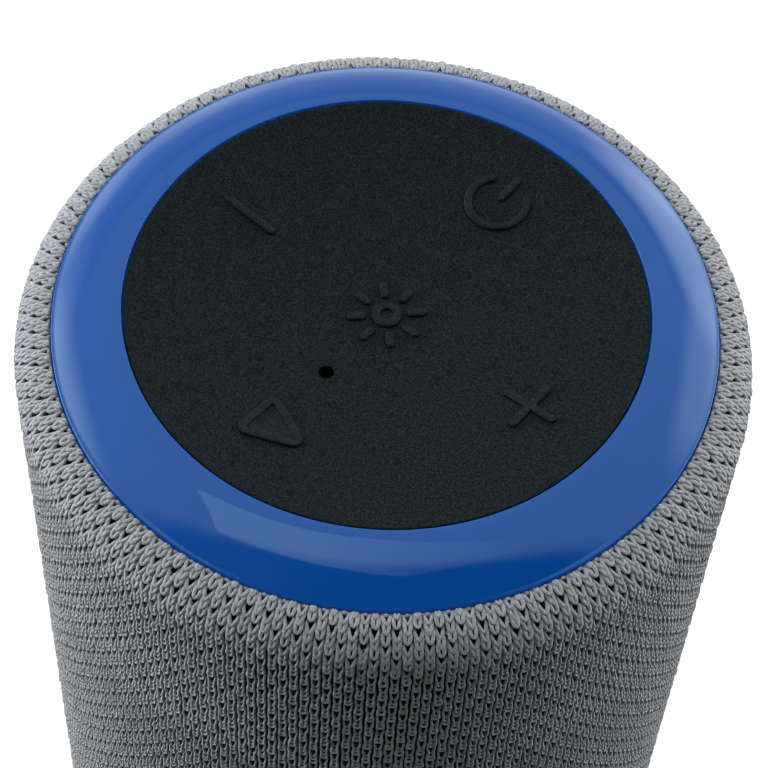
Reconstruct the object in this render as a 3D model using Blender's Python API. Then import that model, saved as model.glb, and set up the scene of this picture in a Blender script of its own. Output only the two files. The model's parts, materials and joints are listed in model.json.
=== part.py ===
"""Portable smart speaker with a knitted sleeve, a light ring and a dished button pad.

Run with: blender --background --python part.py
The blocks of dimensions below are in millimetres and the mesh builders scale them to metres.
+Z is up and the origin is the centre of the face that the foot stands on. The symbols on the
pad read upright from -Y, so the socket on the +Y side is the rear.
"""

import math

import bmesh
import bpy
from mathutils import Vector

MM = 0.001
GAP = 0.3            # clearance between pieces that touch
MERGE = 1e-7         # metres, joins the seam of a full turn
FINE = 40            # facets round the outer pieces
COARSE = 20          # facets round the inner pieces
SMALL = 10           # facets round screws, stems and posts

# Outer shape
HEIGHT = 175.0
BODY_R = 47.5
RING_R = 42.5        # outer edge of the light ring
PAD_HOLE_R = 33.5    # inner edge of the light ring
RING_DROP = 3.55     # fall of the light ring from its inner to its outer edge
CLOTH = 0.8
ROLL_R = 5.8         # radius of the sleeve's top edge
BAND_TOP = 16.0      # top of the bare band round the base

# Button pad and its keys
PAD_R = PAD_HOLE_R - GAP
PAD_EDGE_Z = HEIGHT - GAP
PAD_BOTTOM_Z = 170.7
DISH = 2.7           # depth of the pad's dish
DISH_POWER = 1.8
DISH_RINGS = (PAD_R, 27.0, 20.0, 13.0, 6.0, 0.0)
KEY_RING_R = 22.8    # pad centre to the centre of each outer symbol
RELIEF = 0.45        # height of a symbol above the pad
STROKE = 1.1
KEY_FLANGE_R = 5.7
KEY_FLANGE_H = 0.8
KEY_FACETS = 16
KEY_ROOM = 0.4       # room round a key's flange and stem in the plate below the pad
KEY_TRAVEL_ROOM = 0.8
STEM_R = 1.6
STEM_BOTTOM_Z = 165.2
MIC_Y = -11.9
MIC_HOLE_R = 1.0
MIC_SIZE = (2.0, 1.5)    # radius and height
BOOT_R = 2.4

# Symbols
POWER_ARC_R = 3.85
POWER_GAP = math.radians(47.6)
POWER_LINE = (0.9, 4.2)
BAR_HALF = 3.35
SUN_RING = (0.85, 1.95)
SUN_RAY = (3.55, 4.55)
SUN_RAY_WIDTH = 1.1
SUN_RAYS = 8
PLAY_CORE = ((-1.4, -2.3), (3.8, 0.0), (-1.4, 2.3))
PLAY_CORNER_R = 1.25
PLAY_INNER_R = PLAY_CORNER_R - STROKE

# Deck that carries the ring, the pad and the boards
DECK_TOP_Z = 164.7
DECK_BOTTOM_Z = 161.7
CROWN_BOTTOM_Z = 163.3
SKIRT_BOTTOM_Z = 159.0   # lip that centres the deck in the grille
SKIRT_T = 1.5
CURB_H = 1.0             # step that centres the keypad plate
CUP_R = 32.0
CUP_BORE_R = (30.0, 28.5)    # above and below the ledge of the button board
CUP_FLOOR_Z = 150.0
CUP_FLOOR_T = 2.0
PLATE_BOTTOM_Z = 166.0
BUTTON_BOARD_Z = 161.0
BUTTON_BOARD_R = 29.7
MAIN_BOARD_Z = 154.3
MAIN_BOARD_R = 28.2
MAIN_BOARD_LEG = (2.0, 22.0)     # radius, and distance from the speaker's axis
CHIPS = ((-8, 2, 10, 10, 1.4), (9, -4, 7, 7, 1.2), (4, 11, 12, 5, 2.0))   # x, y, width, depth, height
BOARD_T = 1.2
SWITCH_TOP_Z = 164.2
SWITCH_SIZE = 6.0
SWITCH_BASE_T = 0.4
PLUNGER_BOTTOM = 1.1     # above the switch's underside
LED_BOARD_R = (36.2, 40.6)
LED_RING_R = 38.0
LED_COUNT = 12
LED_SIZE = (2.4, 2.4, 1.4)
SUNK = 0.4           # how far parts on a board reach into it

# Sealed chamber
TUB_R = 43.2
WALL = 2.5
TUB_BOTTOM_Z = 45.0
TUB_TOP_Z = 135.7
LID_Z = 137.0
LID_T = 3.0
POST_R = 3.2
POST_RING_R = 39.8
PILLAR_RING_R = 38.0
GASKET_INNER_R = 41.0
LID_MOUTH_R = 28.5
TUB_MOUTH_R = 31.0
TUB_FLOOR_T = 3.0
GRILLE_R = (45.2, 46.4)
GRILLE_SLOTS = 16
GRILLE_SLOT_WIDTH = 6.0
GRILLE_WINDOWS = ((22.0, 42.0), (142.0, 157.0))
CELL_R = 9.2
CELL_LENGTH = 65.0
CELL_X = 31.0
CELL_Z = 62.0
CELL_TIP = (3.2, 1.2)    # radius and height of the positive end
TRAY_R = (21.8, 40.4)
TRAY_H = 7.0
TRAY_FLOOR_T = 2.0

# Woofer, which fires down
WOOFER_FACE_Z = 43.0
CONE_R = 25.5
CONE_LAND = 1.7      # flat rim that the surround lies on
CONE_T = 0.8
NECK_R = 10.35
NECK_Z = 57.0
NECK_H = 1.2
BASKET_RIM_R = (30.4, 36.0)
BASKET_TOP_Z = 60.0
BASKET_SEAT_R = (12.0, 20.4)
BASKET_T = 1.2
BASKET_WINDOW = (4.0, 25.0, 47.5, 56.5)     # radius, distance from the axis, low and high end
POLE_R = 9.0
COIL_R = (9.35, 10.05)
COIL_Z = (57.3, 66.0)
STEEL_T = 3.0
STEEL_R = 19.5
PLATE_HOLE_R = 10.4
MAGNET_R = (12.0, 21.0)
MAGNET_T = 8.0
DOME_R = 11.5
DOME_RISE = 2.6
DOME_Z = 53.6
DOME_T = 0.7
ROLL_T = 0.5         # rubber of both surrounds
ROLL_LAND = 1.2
SURROUND_R = 30.2
SPIDER_PITCH = 1.45
SPIDER_Z = 57.6
WOOFER_SCREW_R = 33.8

# Passive radiator, which faces up
RADIATOR_Z = 140.3
RADIATOR_R = 23.5
RADIATOR_FRAME_R = (28.8, 34.2)
RADIATOR_FRAME_T = 1.7
RADIATOR_PLATE_T = 1.5
RADIATOR_WEIGHT = (8.0, 136.0)   # radius, and height of its lower end
RADIATOR_ROLL_R = 29.2

# Fasteners and the lead inside
SCREW_R = 1.25
SCREW_HEAD_R = 2.6
SCREW_HEAD_H = 1.5
DECK_BORE_ROOM = 0.35
CABLE_R = 1.4
CABLE_Y = 38.5
CABLE_EXIT_Z = 156.9
CUP_CABLE_ROOM = 0.8     # room round the lead where it enters the cup
CABLE_ROUTE = (
    (32.5, 10.5), (35.5, 10.8), (37.8, 12.5), (CABLE_Y, 16.5), (CABLE_Y, 45.0), (CABLE_Y, 75.0),
    (CABLE_Y, 105.0), (CABLE_Y, 135.0), (CABLE_Y, 150.0), (37.6, 154.6), (34.5, 156.7),
    (30.0, CABLE_EXIT_Z), (25.5, CABLE_EXIT_Z))     # y and z

# Base
FOOT_R = (30.0, 44.0)
FOOT_T = 2.0
FOOT_GROOVE = 1.3    # depth of the base's groove for the foot
BASE_BOTTOM_Z = 1.0
BASE_EDGE_R = 3.0
FLOOR_Z = 6.3
LIP_H = 3.0          # lip above the band that centres the grille
LIP_T = 1.5
REFLECTOR_WALL = (33.5, 35.5, 14.7)     # inner and outer radius and top of the wall under the reflector
BOARD_NICHE = (32.0, 15.0, 36.0, 23.7)  # width, depth, distance from the axis and top
HEAD_BORE_R = 2.9
CHARGE_BOARD_Z = 7.0
CHARGE_BOARD = (26.0, 21.0, 30.0)       # width, depth and distance from the axis
PORT_Z = 10.1
PORT_FACE_Y = 46.7
PORT_SIZE = (9.0, 7.4, 3.2)
PORT_WALL = 0.3
PORT_TONGUE = (6.7, 5.0, 0.7)
PORT_ROOT = (7.5, 1.2, 3.0)
PORT_HALF = 3.2      # half the distance between the centres of the socket hole's ends
REFLECTOR_R = 36.3
REFLECTOR_Z = (15.0, 35.0)
REFLECTOR_T = 2.0

THIRDS = [math.radians(150 + 120 * k) for k in range(3)]


# ---------------------------------------------------------------- builders

def clear_scene():
    for obj in list(bpy.data.objects):
        bpy.data.objects.remove(obj, do_unlink=True)


def material(name, colour, roughness, metallic=0.0, transmission=0.0):
    mat = bpy.data.materials.get(name)
    if mat:
        return mat
    mat = bpy.data.materials.new(name)
    mat.use_nodes = True
    shader = mat.node_tree.nodes["Principled BSDF"]
    shader.inputs["Base Color"].default_value = (*colour, 1.0)
    shader.inputs["Roughness"].default_value = roughness
    shader.inputs["Metallic"].default_value = metallic
    shader.inputs["Transmission Weight"].default_value = transmission
    mat.diffuse_color = (*colour, 1.0)
    return mat


def place(name, bm, look=None, at=(0.0, 0.0)):
    """Make an object from bm, whose x and y are measured from its own axis at `at`."""
    bmesh.ops.recalc_face_normals(bm, faces=bm.faces)
    mesh = bpy.data.meshes.new(name)
    bm.to_mesh(mesh)
    bm.free()
    mesh.shade_smooth()
    mesh.set_sharp_from_angle(angle=math.radians(30))
    obj = bpy.data.objects.new(name, mesh)
    bpy.context.scene.collection.objects.link(obj)
    obj.location = (at[0] * MM, at[1] * MM, 0.0)
    if look:
        mesh.materials.append(material(name, *look))
    return obj


def add_turned(bm, profile, segments, at=(0.0, 0.0)):
    """Turn a closed profile of (radius, height) points once round a vertical axis."""
    centre = Vector((at[0] * MM, at[1] * MM, 0.0))
    verts = [bm.verts.new(centre + Vector((r * MM, 0.0, z * MM))) for r, z in profile]
    count = len(verts)
    edges = []
    for i, vert in enumerate(verts):
        following = verts[(i + 1) % count]
        if profile[i][0] > 0 or profile[(i + 1) % count][0] > 0:
            edges.append(bm.edges.new((vert, following)))
    bmesh.ops.spin(bm, geom=verts + edges, cent=centre, axis=(0, 0, 1),
                   angle=math.tau, steps=segments, use_merge=True)
    bmesh.ops.remove_doubles(bm, verts=bm.verts, dist=MERGE)


def turned(name, profile, look=None, segments=COARSE, at=(0.0, 0.0)):
    bm = bmesh.new()
    add_turned(bm, profile, segments)
    return place(name, bm, look, at)


def add_prism(bm, outline, low, high, at=(0.0, 0.0)):
    """Extrude an outline from height low to high; high may be a function of world x and y."""
    top = high if callable(high) else (lambda x, y: high)
    face = bm.faces.new([bm.verts.new((x * MM, y * MM, low * MM)) for x, y in outline])
    lifted = bmesh.ops.extrude_face_region(bm, geom=[face])["geom"]
    for vert in (item for item in lifted if isinstance(item, bmesh.types.BMVert)):
        vert.co.z = top(vert.co.x / MM + at[0], vert.co.y / MM + at[1]) * MM


def add_box(bm, centre, size):
    x, y, z = centre
    half_x, half_y = size[0] / 2, size[1] / 2
    outline = [(x - half_x, y - half_y), (x + half_x, y - half_y),
               (x + half_x, y + half_y), (x - half_x, y + half_y)]
    add_prism(bm, outline, z - size[2] / 2, z + size[2] / 2)


def add_cross_bore(bm, outline, height, near, far):
    """A prism along +Y, whose outline is drawn in x and z round (0, height)."""
    face = bm.faces.new([bm.verts.new((x * MM, near * MM, (height + z) * MM)) for x, z in outline])
    lifted = bmesh.ops.extrude_face_region(bm, geom=[face])["geom"]
    for vert in (item for item in lifted if isinstance(item, bmesh.types.BMVert)):
        vert.co.y = far * MM


def rod_profile(radius, low, high):
    return [(0, low), (radius, low), (radius, high), (0, high)]


def tube_profile(inner, outer, low, high):
    return [(inner, low), (outer, low), (outer, high), (inner, high)]


def helper(name, bm, at=(0.0, 0.0)):
    obj = place(name, bm, None, at)
    obj.hide_render = True
    obj.display_type = "WIRE"
    return obj


def combine(obj, other, operation):
    modifier = obj.modifiers.new(other.name, "BOOLEAN")
    modifier.operation = operation
    modifier.solver = "EXACT"
    modifier.object = other
    return obj


def cut(obj, bm, at=(0.0, 0.0)):
    return combine(obj, helper(f"{obj.name}_cutter_{len(obj.modifiers)}", bm, at), "DIFFERENCE")


def join(obj, bm, at=(0.0, 0.0)):
    return combine(obj, helper(f"{obj.name}_addition_{len(obj.modifiers)}", bm, at), "UNION")


def polar(radius, angle):
    return radius * math.cos(angle), radius * math.sin(angle)


def arc(centre, radius, start, end, steps):
    """Points from angle start to angle end, both included."""
    points = []
    for k in range(steps + 1):
        x, y = polar(radius, start + (end - start) * k / steps)
        points.append((centre[0] + x, centre[1] + y))
    return points


# ---------------------------------------------------------------- outlines of the symbols

def rounded_hull(centres, radius, steps=4):
    """Outline round circles of one radius whose centres are a convex polygon, anticlockwise."""
    if len(centres) == 1:
        return arc(centres[0], radius, 0.0, math.tau, SMALL)[:-1]
    outline = []
    count = len(centres)
    for i, centre in enumerate(centres):
        before, after = centres[i - 1], centres[(i + 1) % count]
        start = math.atan2(centre[1] - before[1], centre[0] - before[0]) - math.pi / 2
        end = math.atan2(after[1] - centre[1], after[0] - centre[0]) - math.pi / 2
        while end < start:
            end += math.tau
        outline += arc(centre, radius, start, end, steps)
    return outline


def power_arc(grow=0.0):
    half = STROKE / 2 + grow
    start, end = math.pi / 2 + POWER_GAP, math.pi * 2.5 - POWER_GAP
    outline = arc((0, 0), POWER_ARC_R + half, start, end, 14)
    outline += arc(polar(POWER_ARC_R, end), half, end, end + math.pi, 4)[1:-1]
    outline += arc((0, 0), POWER_ARC_R - half, end, start, 14)
    outline += arc(polar(POWER_ARC_R, start), half, start + math.pi, start + math.tau, 4)[1:-1]
    return outline


def power_line(grow=0.0):
    ends = [(0.0, POWER_LINE[0]), (0.0, POWER_LINE[1])]
    return rounded_hull(ends, STROKE / 2 + grow)


def minus_bar(grow=0.0):
    return rounded_hull([(-BAR_HALF, 0.0), (BAR_HALF, 0.0)], STROKE / 2 + grow)


def plus_cross(grow=0.0):
    half = STROKE / 2 + grow
    outline = []
    for k in range(4):
        turn = k * math.pi / 2
        outline += arc(polar(BAR_HALF, turn), half, turn - math.pi / 2, turn + math.pi / 2, 4)
        outline.append(polar(half * math.sqrt(2), turn + math.pi / 4))
    return outline


def play_outline(grow=0.0):
    return rounded_hull(PLAY_CORE, PLAY_CORNER_R + grow)


def sun_ray(turn, grow=0.0):
    ends = [polar(SUN_RAY[0], turn), polar(SUN_RAY[1], turn)]
    return rounded_hull(ends, SUN_RAY_WIDTH / 2 + grow, steps=2)


def sun_disc(grow=0.0):
    return rounded_hull([(0.0, 0.0)], SUN_RING[1] + grow)


def sun_parts(grow=0.0):
    return [sun_ray(math.tau * k / SUN_RAYS, grow) for k in range(SUN_RAYS)] + [sun_disc(grow)]


KEYS = {
    "power": ((0.0, KEY_RING_R), lambda grow=0.0: [power_arc(grow), power_line(grow)]),
    "volume_down": ((-KEY_RING_R, 0.0), lambda grow=0.0: [minus_bar(grow)]),
    "volume_up": ((KEY_RING_R, 0.0), lambda grow=0.0: [plus_cross(grow)]),
    "play": ((0.0, -KEY_RING_R), lambda grow=0.0: [play_outline(grow)]),
    "light": ((0.0, 0.0), sun_parts),
}


# ---------------------------------------------------------------- control top

def pad_height(x, y):
    """Height of the pad's dished top at a place on the pad."""
    share = math.hypot(x, y) / PAD_R
    return PAD_EDGE_Z - DISH * (1.0 - share ** DISH_POWER)


def symbol_height(x, y):
    return pad_height(x, y) + RELIEF


def ring_height(radius):
    """Height of the light ring's crowned top."""
    share = (radius - PAD_HOLE_R) / (RING_R - PAD_HOLE_R)
    return HEIGHT - RING_DROP * share ** 1.7


def build_button_pad():
    dish = [(r, pad_height(r, 0)) for r in DISH_RINGS]
    profile = [(0, PAD_BOTTOM_Z), (PAD_R, PAD_BOTTOM_Z)] + dish
    pad = turned("button_pad", profile, ((0.018, 0.02, 0.022), 0.75), FINE)
    bm = bmesh.new()
    for centre, parts in KEYS.values():
        for outline in parts(GAP):
            moved = [(x + centre[0], y + centre[1]) for x, y in outline]
            add_prism(bm, moved, PAD_BOTTOM_Z - 1, HEIGHT + 1)
    hole = arc((0, MIC_Y), MIC_HOLE_R, 0, math.tau, SMALL)[:-1]
    add_prism(bm, hole, PAD_BOTTOM_Z - 1, HEIGHT + 1)
    cut(pad, bm)


def build_key(name, centre, parts):
    top = PAD_BOTTOM_Z - GAP
    bottom = top - KEY_FLANGE_H
    profile = [(0, STEM_BOTTOM_Z), (STEM_R, STEM_BOTTOM_Z), (STEM_R, bottom),
               (KEY_FLANGE_R, bottom), (KEY_FLANGE_R, top), (0, top)]
    key = turned(f"{name}_key", profile, ((0.02, 0.022, 0.024), 0.7), KEY_FACETS, centre)
    bm = bmesh.new()
    for outline in parts():
        add_prism(bm, outline, top - KEY_FLANGE_H / 2, symbol_height, centre)
    join(key, bm, centre)
    floor = {"play": rounded_hull(PLAY_CORE, PLAY_INNER_R, steps=2),
             "light": rounded_hull([(0.0, 0.0)], SUN_RING[0])}
    if name in floor:
        bm = bmesh.new()
        add_prism(bm, floor[name], pad_height(*centre), HEIGHT + 1)
        cut(key, bm, centre)


def build_light_ring():
    steps = 4
    inner, outer, skin = 1.6, 1.5, 1.8
    top = []
    for k in range(steps + 1):
        r = PAD_HOLE_R + (RING_R - PAD_HOLE_R) * k / steps
        top.append((r, ring_height(r)))
    low = DECK_TOP_Z + GAP
    r_in, r_out = PAD_HOLE_R + inner, RING_R - outer
    channel = [(r_out, low), (r_out, ring_height(r_out) - skin),
               (r_in, ring_height(r_in) - skin), (r_in, low)]
    profile = top + [(RING_R, low)] + channel + [(PAD_HOLE_R, low)]
    turned("light_ring_diffuser", profile, ((0.02, 0.10, 0.42), 0.12, 0.0, 0.2), FINE)


def build_led_board():
    low = DECK_TOP_Z + GAP
    profile = tube_profile(*LED_BOARD_R, low, low + BOARD_T)
    board = turned("led_ring_board", profile, ((0.75, 0.76, 0.74), 0.5))
    bm = bmesh.new()
    for k in range(LED_COUNT):
        x, y = polar(LED_RING_R, math.tau * k / LED_COUNT)
        add_box(bm, (x, y, low + BOARD_T + LED_SIZE[2] / 2 - SUNK), LED_SIZE)
    join(board, bm)


def build_keypad_plate():
    low, high = PLATE_BOTTOM_Z, PAD_BOTTOM_Z - GAP
    plate = turned("keypad_plate", rod_profile(PAD_R, low, high), ((0.05, 0.05, 0.055), 0.5))
    pocket = high - KEY_FLANGE_H - KEY_TRAVEL_ROOM
    stem, flange = STEM_R + KEY_ROOM, KEY_FLANGE_R + KEY_ROOM
    bm = bmesh.new()
    for centre, _ in KEYS.values():
        profile = [(0, low - 1), (stem, low - 1), (stem, pocket), (flange, pocket),
                   (flange, high + 1), (0, high + 1)]
        add_turned(bm, profile, KEY_FACETS, centre)
    add_turned(bm, rod_profile(BOOT_R + GAP, low - 1, high + 1), SMALL, (0, MIC_Y))
    cut(plate, bm)


def build_button_board():
    top = BUTTON_BOARD_Z + BOARD_T
    turned("button_board", rod_profile(BUTTON_BOARD_R, BUTTON_BOARD_Z, top), ((0.02, 0.16, 0.07), 0.45))
    low = top + GAP
    for name, (centre, _) in KEYS.items():
        bm = bmesh.new()
        add_box(bm, (0, 0, (low + SWITCH_TOP_Z) / 2), (SWITCH_SIZE, SWITCH_SIZE, SWITCH_TOP_Z - low))
        switch = place(f"{name}_switch", bm, ((0.55, 0.56, 0.58), 0.35, 1.0), centre)
        bm = bmesh.new()
        add_turned(bm, rod_profile(STEM_R, low + SWITCH_BASE_T, SWITCH_TOP_Z + 1), SMALL)
        cut(switch, bm, centre)
        profile = rod_profile(STEM_R - GAP, low + PLUNGER_BOTTOM, STEM_BOTTOM_Z - GAP)
        turned(f"{name}_switch_plunger", profile, ((0.05, 0.05, 0.05), 0.5), 12, centre)


def build_microphone():
    low = BUTTON_BOARD_Z + BOARD_T + GAP
    high = low + MIC_SIZE[1]
    centre = (0, MIC_Y)
    turned("microphone", rod_profile(MIC_SIZE[0], low, high), ((0.7, 0.68, 0.6), 0.3, 1.0), SMALL, centre)
    boot = tube_profile(MIC_HOLE_R, BOOT_R, high + GAP, PAD_BOTTOM_Z - GAP)
    turned("microphone_boot", boot, ((0.03, 0.03, 0.03), 0.8), SMALL, centre)


def deck_screw_bore():
    """Shank hole through the deck with a wider bore above it for the screw's head."""
    shank, head = SCREW_R + DECK_BORE_ROOM, SCREW_HEAD_R + DECK_BORE_ROOM
    low, step, high = DECK_BOTTOM_Z - 2, DECK_BOTTOM_Z + 1, DECK_TOP_Z + 1
    return [(0, low), (shank, low), (shank, step), (head, step), (head, high), (0, high)]


def build_deck():
    """Crown that the sleeve rolls over, ledge for the ring, and a cup for the boards."""
    centre = (BODY_R - ROLL_R, HEIGHT - RING_DROP - ROLL_R)
    roll = ROLL_R - CLOTH - GAP
    tuck = RING_R + GAP + CLOTH + GAP
    lean = math.acos((tuck - centre[0]) / roll)
    skirt_r = GRILLE_R[0] - GAP
    ledge, floor, curb = BUTTON_BOARD_Z - GAP, CUP_FLOOR_Z + CUP_FLOOR_T, DECK_TOP_Z + CURB_H
    profile = [(GRILLE_R[1], CROWN_BOTTOM_Z)] + arc(centre, roll, 0.0, lean, 3)
    profile += [(tuck, DECK_TOP_Z), (PAD_R, DECK_TOP_Z), (PAD_R, curb), (CUP_BORE_R[0], curb),
                (CUP_BORE_R[0], ledge), (CUP_BORE_R[1], ledge), (CUP_BORE_R[1], floor), (0, floor),
                (0, CUP_FLOOR_Z), (CUP_R, CUP_FLOOR_Z), (CUP_R, DECK_BOTTOM_Z),
                (skirt_r - SKIRT_T, DECK_BOTTOM_Z), (skirt_r - SKIRT_T, SKIRT_BOTTOM_Z),
                (skirt_r, SKIRT_BOTTOM_Z), (skirt_r, CROWN_BOTTOM_Z)]
    deck = turned("top_housing", profile, ((0.04, 0.04, 0.045), 0.5), FINE)
    bm = bmesh.new()
    for angle in THIRDS:
        add_turned(bm, deck_screw_bore(), SMALL, polar(PILLAR_RING_R, angle))
    cable = arc((0, 0), CABLE_R + CUP_CABLE_ROOM, 0, math.tau, 12)[:-1]
    add_cross_bore(bm, cable, CABLE_EXIT_Z, CUP_BORE_R[1] - 4.0, CUP_R + 4.0)
    cut(deck, bm)
    leg_r, leg_ring_r = MAIN_BOARD_LEG
    leg = rod_profile(leg_r, floor - 1, MAIN_BOARD_Z - GAP)
    bm = bmesh.new()
    for angle in THIRDS:
        add_turned(bm, leg, SMALL, polar(leg_ring_r, angle))
    join(deck, bm)


def build_main_board():
    low, high = MAIN_BOARD_Z, MAIN_BOARD_Z + BOARD_T
    board = turned("main_board", rod_profile(MAIN_BOARD_R, low, high), ((0.02, 0.14, 0.06), 0.45))
    bm = bmesh.new()
    for x, y, width, depth, height in CHIPS:
        add_box(bm, (x, y, high + (height - SUNK) / 2), (width, depth, height + SUNK))
    join(board, bm)


# ---------------------------------------------------------------- sleeve, grille and chamber

def build_fabric_sleeve():
    centre = (BODY_R - ROLL_R, HEIGHT - RING_DROP - ROLL_R)
    inner_r = RING_R + GAP
    outer_lean = math.acos((inner_r - centre[0]) / ROLL_R)
    inner_lean = math.acos((inner_r + CLOTH - centre[0]) / (ROLL_R - CLOTH))
    low = BAND_TOP + GAP
    profile = [(BODY_R, low)] + arc(centre, ROLL_R, 0.0, outer_lean, 5)
    profile += [(inner_r, DECK_TOP_Z + 2 * GAP), (inner_r + CLOTH, DECK_TOP_Z + 2 * GAP)]
    profile += arc(centre, ROLL_R - CLOTH, inner_lean, 0.0, 3)
    profile += [(BODY_R - CLOTH, low)]
    turned("fabric_sleeve", profile, ((0.33, 0.34, 0.36), 0.9), FINE)


def build_grille():
    low, high = BAND_TOP + GAP, CROWN_BOTTOM_Z - GAP
    grille = turned("grille_tube", tube_profile(*GRILLE_R, low, high), ((0.03, 0.03, 0.03), 0.6), FINE)
    near, far = GRILLE_R[0] - 2, GRILLE_R[1] + 2
    bm = bmesh.new()
    for bottom, top in GRILLE_WINDOWS:
        for k in range(GRILLE_SLOTS):
            turn = math.tau * (k + 0.5) / GRILLE_SLOTS
            along = Vector((math.cos(turn), math.sin(turn)))
            across = Vector((-along.y, along.x)) * GRILLE_SLOT_WIDTH / 2
            corners = [along * near - across, along * far - across, along * far + across, along * near + across]
            add_prism(bm, [tuple(corner) for corner in corners], bottom, top)
    cut(grille, bm)


def bored_post(low, depth, high):
    """Closed profile of a round post with a screw bore up from its lower end."""
    return [(0, low + depth), (SCREW_R + GAP, low + depth), (SCREW_R + GAP, low), (POST_R, low),
            (POST_R, high), (0, high)]


def build_tub():
    inner, floor = TUB_R - WALL, TUB_BOTTOM_Z + TUB_FLOOR_T
    profile = [(TUB_MOUTH_R, TUB_BOTTOM_Z), (TUB_R, TUB_BOTTOM_Z), (TUB_R, TUB_TOP_Z), (inner, TUB_TOP_Z),
               (inner, floor), (TUB_MOUTH_R, floor)]
    tub = turned("enclosure_tub", profile, ((0.045, 0.045, 0.05), 0.5))
    bm = bmesh.new()
    for angle in THIRDS:
        post = bored_post(FLOOR_Z + GAP, 12, TUB_BOTTOM_Z + 1)
        add_turned(bm, post, SMALL, polar(POST_RING_R, angle))
    join(tub, bm)
    low, high = TUB_BOTTOM_Z - 1, floor + 1
    bm = bmesh.new()
    add_turned(bm, rod_profile(CABLE_R + GAP, low, high), 12, (0, CABLE_Y))
    for angle in THIRDS:
        add_turned(bm, rod_profile(SCREW_R + GAP, low, high), 12, polar(WOOFER_SCREW_R, angle))
    cut(tub, bm)


def build_lid():
    gasket = tube_profile(GASKET_INNER_R, TUB_R, TUB_TOP_Z + GAP, LID_Z - GAP)
    turned("lid_gasket", gasket, ((0.02, 0.02, 0.02), 0.9))
    profile = tube_profile(LID_MOUTH_R, TUB_R, LID_Z, LID_Z + LID_T)
    lid = turned("enclosure_lid", profile, ((0.045, 0.045, 0.05), 0.5))
    top = DECK_BOTTOM_Z - GAP
    bm = bmesh.new()
    for angle in THIRDS:
        post = [(r, top + LID_Z + 1 - z) for r, z in reversed(bored_post(LID_Z + 1, 10, top))]
        add_turned(bm, post, SMALL, polar(PILLAR_RING_R, angle))
    join(lid, bm)
    bm = bmesh.new()
    add_turned(bm, rod_profile(CABLE_R + GAP, LID_Z - 1, LID_Z + LID_T + 1), 12, (0, CABLE_Y))
    cut(lid, bm)


def build_battery():
    low = CELL_Z - TRAY_FLOOR_T - GAP
    tray = turned("battery_tray", tube_profile(*TRAY_R, low, low + TRAY_H), ((0.06, 0.06, 0.065), 0.6))
    bm = bmesh.new()
    for side in (-1, 1):
        add_turned(bm, rod_profile(CELL_R + GAP, CELL_Z - GAP, low + TRAY_H + 1), 24, (side * CELL_X, 0))
    add_box(bm, (0, CABLE_Y, low + TRAY_H / 2), (2 * CABLE_R + 1, 6, TRAY_H + 2))
    cut(tray, bm)
    top = CELL_Z + CELL_LENGTH
    tip_r, shoulder = CELL_TIP[0], top - CELL_TIP[1]
    for number, side in ((1, -1), (2, 1)):
        profile = [(0, CELL_Z), (CELL_R, CELL_Z), (CELL_R, shoulder), (tip_r, shoulder), (tip_r, top), (0, top)]
        turned(f"battery_cell_{number}", profile, ((0.10, 0.32, 0.28), 0.4), 24, (side * CELL_X, 0))


# ---------------------------------------------------------------- drivers

def half_roll(inner, outer, seat, way):
    """Closed profile of a rubber surround: two lands lying on a seat, joined by a half roll.

    way is 1 where the roll stands up from the seat and -1 where it hangs down.
    """
    middle, radius, land, thickness = (inner + outer) / 2, (outer - inner) / 2, ROLL_LAND, ROLL_T
    over = arc((middle, thickness), radius, math.pi, 0.0, 4)
    under = arc((middle, thickness), radius - thickness, 0.0, math.pi, 4)[1:-1]
    outline = [(inner - land, thickness)] + over + [(outer + land, thickness), (outer + land, 0.0)]
    outline += [(outer - thickness, 0.0)] + under + [(inner + thickness, 0.0), (inner - land, 0.0)]
    return [(r, seat + way * h) for r, h in outline]


def build_basket():
    face, top = WOOFER_FACE_Z, BASKET_TOP_Z
    seat_in, seat_out = BASKET_SEAT_R
    profile = [(BASKET_RIM_R[0], face), (BASKET_RIM_R[1], face), (BASKET_RIM_R[1], TUB_BOTTOM_Z - GAP),
               (TUB_MOUTH_R - GAP, TUB_BOTTOM_Z - GAP), (seat_out, top), (seat_out, top + BASKET_T),
               (seat_in, top + BASKET_T), (seat_in, top), (seat_out - 1.4, top)]
    basket = turned("woofer_basket", profile, ((0.12, 0.12, 0.13), 0.4, 1.0))
    window_r, window_ring_r, low, high = BASKET_WINDOW
    bm = bmesh.new()
    for k in range(4):
        at = polar(window_ring_r, math.tau * (k + 0.5) / 4)
        add_turned(bm, rod_profile(window_r, low, high), 12, at)
    for angle in THIRDS:
        add_turned(bm, rod_profile(SCREW_R + GAP, face - 1, face + 3), 12, polar(WOOFER_SCREW_R, angle))
    cut(basket, bm)


def build_motor():
    steel = ((0.6, 0.6, 0.62), 0.3, 1.0)
    plate = BASKET_TOP_Z + BASKET_T + GAP
    magnet = plate + STEEL_T + GAP
    yoke = magnet + MAGNET_T + GAP
    turned("woofer_top_plate", tube_profile(PLATE_HOLE_R, STEEL_R, plate, plate + STEEL_T), steel)
    turned("woofer_magnet", tube_profile(*MAGNET_R, magnet, magnet + MAGNET_T), ((0.06, 0.06, 0.06), 0.7))
    profile = [(0, plate), (POLE_R, plate), (POLE_R, yoke), (STEEL_R, yoke), (STEEL_R, yoke + STEEL_T),
               (0, yoke + STEEL_T)]
    turned("woofer_yoke", profile, steel)
    turned("voice_coil", tube_profile(*COIL_R, *COIL_Z), ((0.65, 0.32, 0.12), 0.35, 1.0))


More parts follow.
